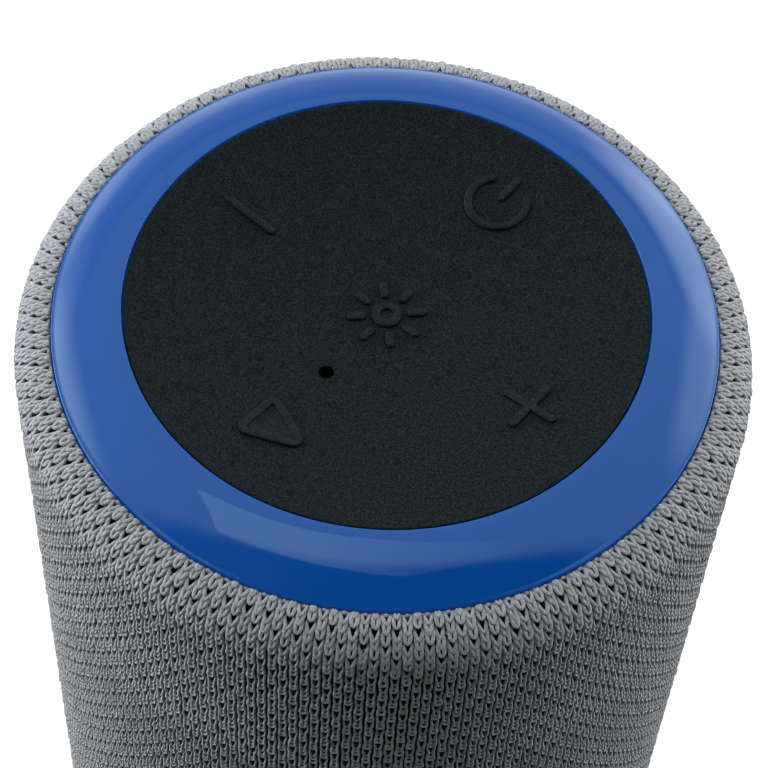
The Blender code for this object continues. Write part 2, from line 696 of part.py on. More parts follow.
def build_cone():
    rim, neck = WOOFER_FACE_Z + 0.2, NECK_R + CONE_T
    cone = [(NECK_R, NECK_Z + NECK_H), (NECK_R, NECK_Z), (CONE_R - CONE_LAND, rim), (CONE_R, rim),
            (CONE_R, rim + CONE_T), (CONE_R - 1.2, rim + CONE_T), (neck, NECK_Z + 0.4), (neck, NECK_Z + NECK_H)]
    turned("woofer_cone", cone[::-1], ((0.05, 0.05, 0.055), 0.85))
    dome = []
    for k in range(5):
        dome.append((DOME_R * k / 4, DOME_Z - DOME_RISE * math.cos(math.pi / 2 * k / 4)))
    turned("dust_cap", dome + [(r, z + DOME_T) for r, z in reversed(dome)], ((0.04, 0.04, 0.045), 0.8))
    surround = half_roll(CONE_R, SURROUND_R, WOOFER_FACE_Z - GAP, -1)
    turned("woofer_surround", surround, ((0.02, 0.02, 0.02), 0.85))
    waves = [(DOME_R + SPIDER_PITCH * k, SPIDER_Z + (0.5 if k % 2 else -0.5)) for k in range(7)]
    turned("woofer_spider", waves + [(r, z + 0.5) for r, z in reversed(waves)], ((0.7, 0.55, 0.25), 0.9))


def build_passive_radiator():
    top = RADIATOR_Z + RADIATOR_FRAME_T
    frame = tube_profile(*RADIATOR_FRAME_R, RADIATOR_Z, top)
    turned("passive_radiator_frame", frame, ((0.12, 0.12, 0.13), 0.4, 1.0))
    weight_r, low = RADIATOR_WEIGHT
    plate = top - RADIATOR_PLATE_T
    profile = [(0, low), (weight_r, low), (weight_r, plate), (RADIATOR_R, plate), (RADIATOR_R, top), (0, top)]
    turned("passive_radiator_cone", profile, ((0.05, 0.05, 0.055), 0.7))
    surround = half_roll(RADIATOR_R + GAP, RADIATOR_ROLL_R, top + GAP, 1)
    turned("passive_radiator_surround", surround, ((0.02, 0.02, 0.02), 0.85))


# ---------------------------------------------------------------- base

def build_base():
    edge = arc((BODY_R - BASE_EDGE_R, BASE_BOTTOM_Z + BASE_EDGE_R), BASE_EDGE_R, -math.pi / 2, 0.0, 3)
    recess = BASE_BOTTOM_Z + FOOT_GROOVE
    inner_r, outer_r = FOOT_R[0] - GAP, FOOT_R[1] + GAP
    lip = (GRILLE_R[0] - GAP - LIP_T, GRILLE_R[0] - GAP)
    wall_in, wall_out, wall_top = REFLECTOR_WALL
    profile = [(0, BASE_BOTTOM_Z), (inner_r, BASE_BOTTOM_Z), (inner_r, recess), (outer_r, recess),
               (outer_r, BASE_BOTTOM_Z)] + edge
    profile += [(BODY_R, BAND_TOP), (lip[1], BAND_TOP), (lip[1], BAND_TOP + LIP_H), (lip[0], BAND_TOP + LIP_H),
                (lip[0], FLOOR_Z), (wall_out, FLOOR_Z), (wall_out, wall_top), (wall_in, wall_top),
                (wall_in, FLOOR_Z), (0, FLOOR_Z)]
    base = turned("base_housing", profile, ((0.03, 0.032, 0.035), 0.6), FINE)
    width, depth, away, high = BOARD_NICHE
    bm = bmesh.new()
    add_box(bm, (0, away, (FLOOR_Z + high) / 2), (width, depth, high - FLOOR_Z))
    shank, step = SCREW_R + GAP, recess + 2
    for angle in THIRDS:
        hole = [(0, 0), (HEAD_BORE_R, 0), (HEAD_BORE_R, step), (shank, step),
                (shank, FLOOR_Z + 1), (0, FLOOR_Z + 1)]
        add_turned(bm, hole, SMALL, polar(POST_RING_R, angle))
    port = rounded_hull([(-PORT_HALF, 0.0), (PORT_HALF, 0.0)], PORT_SIZE[2] / 2 + GAP)
    add_cross_bore(bm, port, PORT_Z, lip[0] - 0.4, BODY_R + 1.5)
    cut(base, bm)
    turned("rubber_foot", tube_profile(*FOOT_R, 0.0, FOOT_T), ((0.02, 0.02, 0.02), 0.9), FINE)


def build_charge_board():
    low, high = CHARGE_BOARD_Z, CHARGE_BOARD_Z + BOARD_T
    width, depth, away = CHARGE_BOARD
    bm = bmesh.new()
    add_box(bm, (0, away, (low + high) / 2), (width, depth, BOARD_T))
    place("charge_board", bm, ((0.02, 0.14, 0.06), 0.45))
    half = PORT_SIZE[2] / 2
    span = PORT_SIZE[0] / 2 - half
    back = PORT_FACE_Y - PORT_SIZE[1]
    bm = bmesh.new()
    shell = rounded_hull([(-span, 0.0), (span, 0.0)], half)
    add_cross_bore(bm, shell, PORT_Z, back, PORT_FACE_Y)
    port = place("usb_c_port", bm, ((0.7, 0.7, 0.72), 0.25, 1.0))
    bm = bmesh.new()
    mouth = rounded_hull([(-span, 0.0), (span, 0.0)], half - PORT_WALL)
    add_cross_bore(bm, mouth, PORT_Z, back + 1.7, PORT_FACE_Y + 1)
    cut(port, bm)
    bm = bmesh.new()
    add_box(bm, (0, back + 3.7, PORT_Z), PORT_TONGUE)
    add_box(bm, (0, back + 0.9, PORT_Z), PORT_ROOT)
    join(port, bm)


def build_reflector():
    base_z, tip_z = REFLECTOR_Z[0] + REFLECTOR_T, REFLECTOR_Z[1]
    steps = 6
    outer = []
    for k in range(steps + 1):
        share = k / steps
        outer.append((REFLECTOR_R * share, base_z + (tip_z - base_z) * (1 - share) ** 2))
    inner = [(r, z - REFLECTOR_T) for r, z in outer]
    turned("acoustic_reflector", outer + inner[::-1], ((0.045, 0.045, 0.05), 0.5))


# ---------------------------------------------------------------- fasteners and cable

def build_screw(name, at, head_z, shank, head_r=SCREW_HEAD_R):
    """Pan-head screw; a positive shank points up from the head, a negative one down."""
    under = head_z + math.copysign(SCREW_HEAD_H, shank)
    tip = under + shank
    profile = [(0, head_z), (head_r, head_z), (head_r, under), (SCREW_R, under), (SCREW_R, tip), (0, tip)]
    turned(name, profile, ((0.5, 0.5, 0.52), 0.3, 1.0), SMALL, at)


def build_screws():
    for number, angle in enumerate(THIRDS, start=1):
        build_screw(f"base_screw_{number}", polar(POST_RING_R, angle), 2.6, 12.0)
        build_screw(f"woofer_screw_{number}", polar(WOOFER_SCREW_R, angle), 41.2, 4.5, 2.0)
        build_screw(f"deck_screw_{number}", polar(PILLAR_RING_R, angle), 164.5, -9.0)


def build_cable():
    """Lead from the charging board up to the main board, past the drivers."""
    curve = bpy.data.curves.new("power_lead", "CURVE")
    curve.dimensions = "3D"
    curve.bevel_depth = CABLE_R * MM
    curve.bevel_resolution = 2
    curve.use_fill_caps = True
    spline = curve.splines.new("POLY")
    spline.points.add(len(CABLE_ROUTE) - 1)
    for point, (y, z) in zip(spline.points, CABLE_ROUTE):
        point.co = (0.0, y * MM, z * MM, 1.0)
    curve.materials.append(material("power_lead", (0.02, 0.02, 0.02), 0.7))
    bpy.context.scene.collection.objects.link(bpy.data.objects.new("power_lead", curve))


def build():
    clear_scene()
    build_button_pad()
    for name, (centre, parts) in KEYS.items():
        build_key(name, centre, parts)
    build_light_ring()
    build_led_board()
    build_keypad_plate()
    build_button_board()
    build_microphone()
    build_deck()
    build_main_board()
    build_fabric_sleeve()
    build_grille()
    build_tub()
    build_lid()
    build_battery()
    build_basket()
    build_motor()
    build_cone()
    build_passive_radiator()
    build_base()
    build_charge_board()
    build_reflector()
    build_screws()
    build_cable()


build()
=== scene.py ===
"""Looks of the portable smart speaker: knitted sleeve, light ring, dished pad, keys and base.

Lengths are in millimetres where a constant or a function says so, and MM turns them to metres.
"""

import json
import math

import bmesh
import bpy
import numpy as np
from mathutils import Matrix, Vector


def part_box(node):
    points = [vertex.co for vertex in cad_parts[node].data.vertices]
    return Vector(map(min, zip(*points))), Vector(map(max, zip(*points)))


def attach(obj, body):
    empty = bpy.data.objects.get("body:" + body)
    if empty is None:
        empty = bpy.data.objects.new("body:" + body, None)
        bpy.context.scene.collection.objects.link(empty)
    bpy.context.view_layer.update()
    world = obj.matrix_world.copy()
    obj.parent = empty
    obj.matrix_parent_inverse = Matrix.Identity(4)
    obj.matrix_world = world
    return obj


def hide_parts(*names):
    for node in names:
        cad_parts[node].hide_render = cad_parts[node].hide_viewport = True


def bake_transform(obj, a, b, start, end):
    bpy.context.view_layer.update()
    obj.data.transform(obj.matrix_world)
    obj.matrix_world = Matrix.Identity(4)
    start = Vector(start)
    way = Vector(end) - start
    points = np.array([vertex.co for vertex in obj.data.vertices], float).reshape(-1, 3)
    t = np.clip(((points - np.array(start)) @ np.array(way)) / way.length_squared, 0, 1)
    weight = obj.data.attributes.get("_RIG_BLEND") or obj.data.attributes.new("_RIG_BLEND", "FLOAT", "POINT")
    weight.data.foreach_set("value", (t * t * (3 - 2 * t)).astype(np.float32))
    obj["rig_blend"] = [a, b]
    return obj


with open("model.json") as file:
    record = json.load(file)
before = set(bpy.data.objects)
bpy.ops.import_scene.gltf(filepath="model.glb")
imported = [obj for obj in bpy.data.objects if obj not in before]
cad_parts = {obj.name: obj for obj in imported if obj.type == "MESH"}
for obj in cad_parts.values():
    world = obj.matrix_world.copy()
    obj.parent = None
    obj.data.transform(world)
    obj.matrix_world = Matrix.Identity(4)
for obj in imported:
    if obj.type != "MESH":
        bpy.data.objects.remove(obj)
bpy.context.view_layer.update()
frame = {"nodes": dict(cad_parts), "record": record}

MM = 0.001


def span(node):
    """Lowest and highest corner of a CAD node, in millimetres."""
    low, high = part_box(node)
    return Vector(low) / MM, Vector(high) / MM


# ---------------------------------------------------------------- sizes taken from the frame

TOP_Z = span("light_ring_diffuser")[1].z
RING_R = span("light_ring_diffuser")[1].x
RING_LOW_Z = span("light_ring_diffuser")[0].z
PAD_R = span("button_pad")[1].x
PAD_EDGE_Z = span("button_pad")[1].z
PAD_LOW_Z = span("button_pad")[0].z
BODY_R = span("fabric_sleeve")[1].x
SLEEVE_LOW_Z = span("fabric_sleeve")[0].z
BAND_R = span("base_housing")[1].x
BAND_LOW_Z = span("base_housing")[0].z
FOOT_R = span("rubber_foot")[1].x
KEY_RING_R = (span("power_key")[0].y + span("power_key")[1].y) / 2
FLANGE_Z = PAD_LOW_Z - 0.3
STEM_LOW_Z = span("power_key")[0].z
FLANGE_R = (span("power_key")[1].x - span("power_key")[0].x) / 2
STEM_R = 1.6

PAD_HOLE_R = PAD_R + 0.3
RING_DROP = 3.55
ROLL_R = 5.8
BAND_TOP_Z = SLEEVE_LOW_Z - 0.3
DISH = 2.7
DISH_POWER = 1.8
RELIEF = 0.45
MIC_Y = -11.9
MIC_HOLE_R = 1.0

# Where the camera stands: it looks along +Y once turned by VIEW_TURN about the speaker's axis.
VIEW_TURN = math.radians(36.13)
VIEW_PITCH = math.radians(55.51)
VIEW_ROLL = math.radians(3.87)
CAMERA_PLACE = (0.25, -182.35, 250.62 + TOP_Z - RING_DROP)
LENS = 114.04
SENSOR = 36.0

FRONT_LIGHT = 0.1
# Brightness of the surroundings by the sine of the elevation.
WORLD_LEVELS = ((-0.45, 0.2), (-0.3, 1.2), (-0.14, 0.8), (-0.05, 0.58),
                (0.4, 0.46), (0.54, 0.7), (0.75, 0.78), (1.0, 0.76))
WORLD_TINT = (0.93, 0.99, 1.0, 1.0)
# Side lights: azimuth, elevation, inner and outer angle of the soft edge, brightness above the surroundings.
LEFT_LIGHT = (-84, 0, 8, 40, 4.0)
RIM_LIGHTS = ((38, 7, 6, 21, 1.6), (27, -7, 3, 13, 0.6), (64, 17, 5, 24, 1.3), (72, -8, 10, 32, 2.4),
              (-42, -2, 3, 16, 1.3), (-24, -8, 3, 14, 0.5), (-56, 14, 3, 16, 0.5))
# Corners of the five-sided light overhead, in millimetres to the right of the speaker and beyond it as seen.
SOFTBOX = ((-380, -200), (80, -300), (350, -150), (0, 110), (-300, 60))
SOFTBOX_ABOVE = 700      # millimetres over the speaker's top
SOFTBOX_TINT = (0.82, 0.98, 1.0)
SOFTBOX_RADIANCE = 0.95
# How it fades to the right: millimetres to the right, and share of the radiance.
SOFTBOX_FADE = ((-400, 1.0), (-100, 0.9), (0, 0.62), (110, 0.3), (300, 0.1), (360, 0.0))
FLOOR_HALF = 3000
BACKDROP_R = 2900


# ---------------------------------------------------------------- small builders

def from_view(x, y, z):
    """A point in metres from millimetres right of, beyond and above the speaker as seen."""
    return Matrix.Rotation(VIEW_TURN, 4, "Z") @ (Vector((x, y, z)) * MM)


def link(obj):
    bpy.context.scene.collection.objects.link(obj)
    return obj


def mesh_object(name, points, faces, smooth=True):
    """Object from points in millimetres and faces as lists of point numbers."""
    mesh = bpy.data.meshes.new(name)
    mesh.from_pydata((np.asarray(points, float) * MM).tolist(), [], [list(face) for face in faces])
    mesh.validate()
    if smooth:
        mesh.shade_smooth()
    return link(bpy.data.objects.new(name, mesh))


def arc(centre, radius, start, end, steps):
    """Points from angle start to angle end in degrees, both included."""
    angles = np.radians(np.linspace(start, end, steps + 1))
    return [(centre[0] + radius * math.cos(a), centre[1] + radius * math.sin(a)) for a in angles]


def turned(name, profile, segments=192, closed=True):
    """Turn (radius, height) points once round the speaker's axis."""
    profile = np.asarray(profile, float)
    count = len(profile)
    angle = np.arange(segments) * math.tau / segments
    points = np.stack([np.outer(np.cos(angle), profile[:, 0]), np.outer(np.sin(angle), profile[:, 0]),
                       np.tile(profile[:, 1], (segments, 1))], axis=2).reshape(-1, 3)
    last = count if closed else count - 1
    faces = []
    for i in range(segments):
        here, there = i * count, (i + 1) % segments * count
        for j in range(last):
            k = (j + 1) % count
            faces.append((here + j, here + k, there + k, there + j))
    obj = mesh_object(name, points, faces)
    weld(obj)
    return obj


def shade(mesh, sharp=30):
    """Smooth shading with edges kept sharp where faces meet at more than this many degrees."""
    mesh.shade_smooth()
    mesh.set_sharp_from_angle(angle=math.radians(sharp))


def weld(obj, distance=1e-6):
    """Join doubled points, such as those that a profile's end puts on the axis."""
    bm = bmesh.new()
    bm.from_mesh(obj.data)
    bmesh.ops.remove_doubles(bm, verts=bm.verts, dist=distance)
    bmesh.ops.dissolve_degenerate(bm, edges=bm.edges, dist=distance)
    bmesh.ops.recalc_face_normals(bm, faces=bm.faces)
    bm.to_mesh(obj.data)
    bm.free()
    shade(obj.data)


def wear(obj, look):
    """Make a material an object's only one."""
    obj.data.materials.clear()
    obj.data.materials.append(look)


def finish_piece(obj, look, body, slot, *nodes):
    """Put a piece on a body, with its material and the CAD nodes it stands for."""
    wear(obj, look)
    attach(obj, body)
    if nodes:
        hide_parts(*nodes)
    return obj


# ---------------------------------------------------------------- materials

class Look:
    """A Principled material with helpers that wire procedural detail in object space."""

    def __init__(self, name, colour, roughness, metallic=0.0):
        self.material = bpy.data.materials.new(name)
        self.material.use_nodes = True
        self.nodes = self.material.node_tree.nodes
        self.links = self.material.node_tree.links
        self.shader = self.nodes["Principled BSDF"]
        self.colour = colour
        self.shader.inputs["Base Color"].default_value = (*colour, 1.0)
        self.shader.inputs["Roughness"].default_value = roughness
        self.shader.inputs["Metallic"].default_value = metallic
        self.place = self.nodes.new("ShaderNodeTexCoord").outputs["Object"]

    def set(self, **values):
        for name, value in values.items():
            self.shader.inputs[name.replace("_", " ")].default_value = value
        return self

    def noise(self, size_mm, detail=3.0, roughness=0.55, distortion=0.0):
        node = self.nodes.new("ShaderNodeTexNoise")
        node.inputs["Scale"].default_value = 1.0 / (size_mm * MM)
        node.inputs["Detail"].default_value = detail
        node.inputs["Roughness"].default_value = roughness
        node.inputs["Distortion"].default_value = distortion
        self.links.new(self.place, node.inputs["Vector"])
        return node.outputs["Fac"]

    def cells(self, size_mm, feature="F1"):
        node = self.nodes.new("ShaderNodeTexVoronoi")
        node.feature = feature
        node.inputs["Scale"].default_value = 1.0 / (size_mm * MM)
        self.links.new(self.place, node.inputs["Vector"])
        return node.outputs["Distance"]

    def ramp(self, source, *stops):
        """Map a factor through (position, value) stops, where a value is a number or a colour."""
        node = self.nodes.new("ShaderNodeValToRGB")
        elements = node.color_ramp.elements
        while len(elements) < len(stops):
            elements.new(0.5)
        for element, (position, value) in zip(elements, stops):
            element.position = position
            colour = value if isinstance(value, tuple) else (value, value, value)
            element.color = (*colour, 1.0)
        self.links.new(source, node.inputs["Fac"])
        return node.outputs["Color"]

    def shades(self, source, low=0.85, high=1.15, start=0.3, end=0.7):
        """Vary the base colour between low and high times itself."""
        dark = tuple(c * low for c in self.colour)
        light = tuple(min(1.0, c * high) for c in self.colour)
        self.links.new(self.ramp(source, (start, dark), (end, light)), self.shader.inputs["Base Color"])
        return self

    def paint_depth_shade(self, attribute, low, high, least):
        """Painted shade: scale the base colour from 1 down to least where a point attribute falls from high
        to low.
        """
        value = self.nodes.new("ShaderNodeAttribute")
        value.attribute_name = attribute
        spread = self.nodes.new("ShaderNodeMapRange")
        for name, number in zip(("From Min", "From Max", "To Min", "To Max"), (low, high, least, 1.0)):
            spread.inputs[name].default_value = number
        self.links.new(value.outputs["Fac"], spread.inputs["Value"])
        scale = self.nodes.new("ShaderNodeVectorMath")
        scale.operation = "SCALE"
        base = self.shader.inputs["Base Color"]
        self.links.new(base.links[0].from_socket, scale.inputs[0])
        self.links.new(spread.outputs["Result"], scale.inputs["Scale"])
        self.links.new(scale.outputs["Vector"], base)
        return self

    def rough(self, source, low, high, start=0.3, end=0.7):
        self.links.new(self.ramp(source, (start, low), (end, high)), self.shader.inputs["Roughness"])
        return self

    def bump(self, source, depth_mm, strength=1.0):
        node = self.nodes.new("ShaderNodeBump")
        node.inputs["Strength"].default_value = strength
        node.inputs["Distance"].default_value = depth_mm * MM
        self.links.new(source, node.inputs["Height"])
        previous = self.shader.inputs["Normal"].links
        if previous:
            self.links.new(previous[0].from_socket, node.inputs["Normal"])
        self.links.new(node.outputs["Normal"], self.shader.inputs["Normal"])
        return self


def plastic(name, colour, roughness, grain_mm=0.35, depth_mm=0.02):
    look = Look(name, colour, roughness)
    look.shades(look.noise(9.0), 0.88, 1.12)
    look.rough(look.noise(3.0), roughness - 0.06, roughness + 0.08)
    look.bump(look.noise(grain_mm, detail=2.0), depth_mm)
    return look.material


def rubber(name, colour, roughness=0.8):
    look = Look(name, colour, roughness)
    look.shades(look.noise(0.5, detail=4.0), 0.7, 1.35, 0.35, 0.65)
    look.rough(look.noise(4.0), roughness - 0.08, roughness + 0.06)
    look.bump(look.noise(0.22, detail=2.0), 0.03)
    return look.material


def metal(name, colour, roughness):
    look = Look(name, colour, roughness, 1.0)
    look.shades(look.noise(2.5, detail=5.0), 0.85, 1.1)
    look.rough(look.noise(0.6, detail=4.0), roughness * 0.75, roughness * 1.3)
    look.bump(look.noise(0.4), 0.005)
    return look.material


def woven(name, colour):
    look = Look(name, colour, 0.9)
    look.shades(look.cells(0.3), 0.6, 1.3, 0.2, 0.6)
    look.bump(look.cells(0.3), 0.05)
    return look.material


def circuit(name, colour):
    look = Look(name, colour, 0.4)
    look.shades(look.cells(1.6, "DISTANCE_TO_EDGE"), 0.6, 1.5, 0.02, 0.06)
    look.rough(look.noise(2.0), 0.3, 0.5)
    return look.material


def yarn(name, colour):
    """Spun yarn: flecked fibres, a twist too fine to model, a soft nap at grazing angles, and painted shade
    that darkens the yarn the deeper it lies in the knit.
    """
    look = Look(name, colour, 0.95)
    fleck = look.noise(0.35, detail=5.0, roughness=0.7)
    look.shades(fleck, 0.62, 1.3, 0.3, 0.72)
    # Painted shade: the yarn darkens the lower it lies in the knit, standing in for the shade in the knit's
    # holes and between its strands.
    look.paint_depth_shade("rise", -0.42, -0.06, 0.08)
    look.bump(look.noise(0.16, detail=3.0, roughness=0.7), 0.06, 0.8)
    look.set(Sheen_Weight=0.35, Sheen_Roughness=0.45, Specular_IOR_Level=0.2)
    return look.material


def glossy_ring(name, colour):
    """Moulded blue plastic with a polished face and faint flow clouds, and a faint painted glow for light
    carried through the plastic into its shaded front.
    """
    look = Look(name, colour, 0.1)
    look.shades(look.noise(14.0, detail=2.0), 0.95, 1.05)
    look.rough(look.noise(1.2, detail=4.0), 0.03, 0.07)
    look.bump(look.noise(6.0, detail=1.0), 0.01, 0.3)
    # The blue emission is painted light: a faint glow that lifts the ring's shaded front.
    look.set(Subsurface_Weight=0.5, Subsurface_Radius=(0.6, 0.8, 1.0), Subsurface_Scale=6.0 * MM,
             Specular_IOR_Level=0.7, Specular_Tint=(0.78, 0.96, 1.0, 1.0),
             Emission_Color=(0.0, 0.2, 1.0, 1.0), Emission_Strength=0.1)
    return look.material


def pad_rubber(name, colour, shine):
    """Matt silicone with a fine speckled grain."""
    look = Look(name, colour, 0.62)
    look.shades(look.noise(0.24, detail=2.0, roughness=0.5), 0.55, 1.6, 0.4, 0.64)
    look.rough(look.noise(2.0), 0.56, 0.7)
    look.bump(look.noise(0.2, detail=3.0), 0.03, 0.9)
    look.set(Specular_IOR_Level=shine)
    return look.material


BLACK_CLOTH = (0.012, 0.012, 0.013)
LOOKS = {
    "knit_fabric": yarn("grey_yarn", (0.555, 0.55, 0.575)),
    "blue_diffuser": glossy_ring("blue_gloss", (0.003, 0.072, 0.33)),
    "pad_rubber": pad_rubber("charcoal_silicone", (0.0160, 0.0200, 0.0228), 0.06),
    # The keys wear the pad's silicone made a little shinier and a little lighter; the lighter colour is
    # painted light for the lit tops of the raised symbols.
    "key_rubber": pad_rubber("key_silicone_painted_light", (0.0168, 0.0208, 0.0235), 0.14),
    "black_plastic": plastic("black_plastic", (0.02, 0.021, 0.023), 0.5),
    "soft_rubber": rubber("soft_rubber", (0.018, 0.018, 0.018)),
    "bright_metal": metal("bright_metal", (0.62, 0.62, 0.64), 0.3),
    "motor_steel": metal("motor_steel", (0.6, 0.6, 0.62), 0.35),
    "magnet": metal("ferrite", (0.06, 0.06, 0.06), 0.6),
    "basket_metal": metal("basket_metal", (0.12, 0.12, 0.13), 0.45),
    "cone_paper": woven("cone_paper", (0.05, 0.05, 0.055)),
    "radiator_plate": plastic("radiator_plate", (0.05, 0.05, 0.055), 0.6),
    "coil_copper": metal("coil_copper", (0.65, 0.32, 0.12), 0.3),
    "circuit_board": circuit("circuit_board", (0.02, 0.15, 0.06)),
    "battery_wrap": plastic("battery_wrap", (0.1, 0.32, 0.28), 0.35, 0.8, 0.01),
    "switch_body": metal("switch_body", (0.55, 0.56, 0.58), 0.3),
    "switch_plunger": plastic("switch_plunger", (0.05, 0.05, 0.05), 0.45),
}


def dress_cad_nodes():
    """Give every CAD node the material of its slot in the record, and the microphone a dark mesh."""
    for row in frame["record"]["subparts"]:
        wear(frame["nodes"][row["node"]], LOOKS[row["material_slot"]])
    wear(frame["nodes"]["microphone"], woven("microphone_mesh", BLACK_CLOTH))


# ---------------------------------------------------------------- camera, floor and light

def build_camera():
    data = bpy.data.cameras.new("camera")
    data.lens = LENS
    data.sensor_width = SENSOR
    data.clip_end = 10.0
    camera = link(bpy.data.objects.new("camera", data))
    tilt = Matrix.Rotation(math.pi / 2 - VIEW_PITCH, 4, "X")
    roll = Matrix.Rotation(VIEW_ROLL, 4, "Z")
    turn = Matrix.Rotation(VIEW_TURN, 4, "Z")
    camera.matrix_world = Matrix.Translation(from_view(*CAMERA_PLACE)) @ turn @ tilt @ roll
    bpy.context.scene.camera = camera


def softbox(name, corners, above, colour, radiance, *stops):
    """Flat light over the speaker; corners are millimetres right of it and beyond it as seen.

    Its radiance is scaled by the (millimetres to the right, share) stops, and it lets other light through.
    """
    card = mesh_object(name, [(x, y, 0) for x, y in corners], [range(len(corners))], smooth=False)
    card.matrix_world = Matrix.Translation(from_view(0, 0, above)) @ Matrix.Rotation(VIEW_TURN, 4, "Z")
    look = Look(name, colour, 1.0)
    across = look.nodes.new("ShaderNodeSeparateXYZ")
    look.links.new(look.place, across.inputs[0])
    first, last = stops[0][0], stops[-1][0]
    share = look.nodes.new("ShaderNodeMapRange")
    share.inputs["From Min"].default_value = first * MM
    share.inputs["From Max"].default_value = last * MM
    look.links.new(across.outputs["X"], share.inputs["Value"])
    glow = look.nodes.new("ShaderNodeEmission")
    glow.inputs["Strength"].default_value = radiance
    levels = [((x - first) / (last - first), tuple(c * level for c in colour)) for x, level in stops]
    look.links.new(look.ramp(share.outputs["Result"], *levels), glow.inputs["Color"])
    clear = look.nodes.new("ShaderNodeBsdfTransparent")
    both = look.nodes.new("ShaderNodeAddShader")
    look.links.new(glow.outputs[0], both.inputs[0])
    look.links.new(clear.outputs[0], both.inputs[1])
    look.links.new(both.outputs[0], look.nodes["Material Output"].inputs["Surface"])
    look.nodes.remove(look.shader)
    wear(card, look.material)
    card.visible_camera = False
    card.visible_shadow = False


def towards(azimuth, elevation):
    """Unit direction; azimuth is in degrees clockwise from beyond the speaker as seen."""
    turn, lift = math.radians(azimuth), math.radians(elevation)
    place = from_view(math.sin(turn) * math.cos(lift), math.cos(turn) * math.cos(lift), math.sin(lift))
    return place.normalized()


def build_world():
    """Bright surroundings with soft lights at the sides and a dark side towards the camera."""
    world = bpy.data.worlds.new("studio")
    bpy.context.scene.world = world
    world.use_nodes = True
    nodes, links = world.node_tree.nodes, world.node_tree.links
    direction = nodes.new("ShaderNodeTexCoord").outputs["Generated"]

    def share(axis, *stops):
        """Curve of (cosine of the angle to the axis, value) stops over all directions."""
        dot = nodes.new("ShaderNodeVectorMath")
        dot.operation = "DOT_PRODUCT"
        links.new(direction, dot.inputs[0])
        dot.inputs[1].default_value = axis
        ramp = nodes.new("ShaderNodeValToRGB")
        ramp.color_ramp.interpolation = "EASE"
        elements = ramp.color_ramp.elements
        while len(elements) < len(stops):
            elements.new(0.5)
        for element, (cosine, value) in zip(elements, stops):
            element.position = cosine / 2 + 0.5
            element.color = (value, value, value, 1.0)
        half = nodes.new("ShaderNodeMath")
        half.operation = "MULTIPLY_ADD"
        half.inputs[1].default_value = 0.5
        half.inputs[2].default_value = 0.5
        links.new(dot.outputs["Value"], half.inputs[0])
        links.new(half.outputs["Value"], ramp.inputs["Fac"])
        return ramp.outputs["Color"]

    def lobe(azimuth, elevation, inner, outer, level):
        return share(towards(azimuth, elevation), (math.cos(math.radians(outer)), 0.0),
                     (math.cos(math.radians(inner)), level))

    def join(operation, first, second):
        node = nodes.new("ShaderNodeMath")
        node.operation = operation
        links.new(first, node.inputs[0])
        links.new(second, node.inputs[1])
        return node.outputs["Value"]

    total = share((0, 0, 1), *WORLD_LEVELS)
    total = join("ADD", total, lobe(*LEFT_LIGHT))
    total = join("MULTIPLY", total, share(towards(180, 0), (0.16, 1.0), (0.3, 0.0)))
    front = join("MULTIPLY", share(towards(180, 0), (0.16, 0.0), (0.3, 1.0)),
                 share(towards(-90, 0), (0.0, 0.02), (0.5, FRONT_LIGHT)))
    total = join("ADD", total, front)
    for light in RIM_LIGHTS:
        total = join("ADD", total, lobe(*light))
    links.new(total, nodes["Background"].inputs["Strength"])
    nodes["Background"].inputs["Color"].default_value = WORLD_TINT


def build_stage():
    half = FLOOR_HALF
    corners = [(-half, -half, 0), (half, -half, 0), (half, half, 0), (-half, half, 0)]
    floor = mesh_object("floor", corners, [(0, 1, 2, 3)], smooth=False)
    bm = bmesh.new()
    bmesh.ops.create_uvsphere(bm, u_segments=48, v_segments=24, radius=BACKDROP_R * MM)
    bmesh.ops.reverse_faces(bm, faces=bm.faces)
    mesh = bpy.data.meshes.new("backdrop")
    bm.to_mesh(mesh)
    bm.free()
    backdrop = link(bpy.data.objects.new("backdrop", mesh))
    look = Look("pale_floor", (0.9, 0.9, 0.9), 0.9)
    look.shades(look.noise(400.0), 0.99, 1.01)
    look.set(Emission_Color=(1.0, 1.0, 1.0, 1.0), Emission_Strength=0.6, Specular_IOR_Level=0.0)
    wear(floor, look.material)
    glow = Look("pale_backdrop", (0.0, 0.0, 0.0), 1.0)
    glow.set(Emission_Color=(1.0, 1.0, 1.0, 1.0), Emission_Strength=1.0, Specular_IOR_Level=0.0)
    wear(backdrop, glow.material)
    for obj in (floor, backdrop):
        obj.visible_diffuse = False
        obj.visible_glossy = False
        obj.visible_transmission = False
        obj.visible_shadow = False
    build_world()
    softbox("overhead", SOFTBOX, SOFTBOX_ABOVE + TOP_Z, SOFTBOX_TINT, SOFTBOX_RADIANCE, *SOFTBOX_FADE)
    bpy.context.scene.view_settings.view_transform = "Standard"


# ---------------------------------------------------------------- knitted sleeve

WALES = 220              # columns of stitches round the sleeve
UNIT = 3.83              # height of one eyelet repeat
COURSES = 3              # stitches in a repeat
PHASE = 1.75             # first eyelet's top below the sleeve's edge
YARN_DEEP = 0.2          # half the yarn's depth
GROOVE = 0.3             # depth of the furrow between the yarn's two plies, as a share of YARN_DEEP
YARN_BASE = 0.1          # yarn's centre below the sleeve's outer surface
RING_CLEARANCE = 0.35    # between the ring's edge and the yarn's centre
TUCK = 1.6               # length of sleeve that dives in under the ring
FINE_LENGTH = 36.0       # length from the ring that gets the finer stitches
FLOATS = (0.30, 0.80)    # where in a repeat a strand crosses to the next column
ROLL_FLOAT, WALL_FLOAT = 0.2, 0.6   # depth of those strands below the stitches
HANG_START, HANG_LENGTH = 5.0, 4.0  # where along the sleeve the roll's stitches turn into the wall's
UPPER_SEED, LOWER_SEED = 7, 11
LINING_DEPTH = 1.15      # the black cloth's place below the sleeve's outer surface
LINING_TUCK = 2.5        # length of it that dives in under the ring


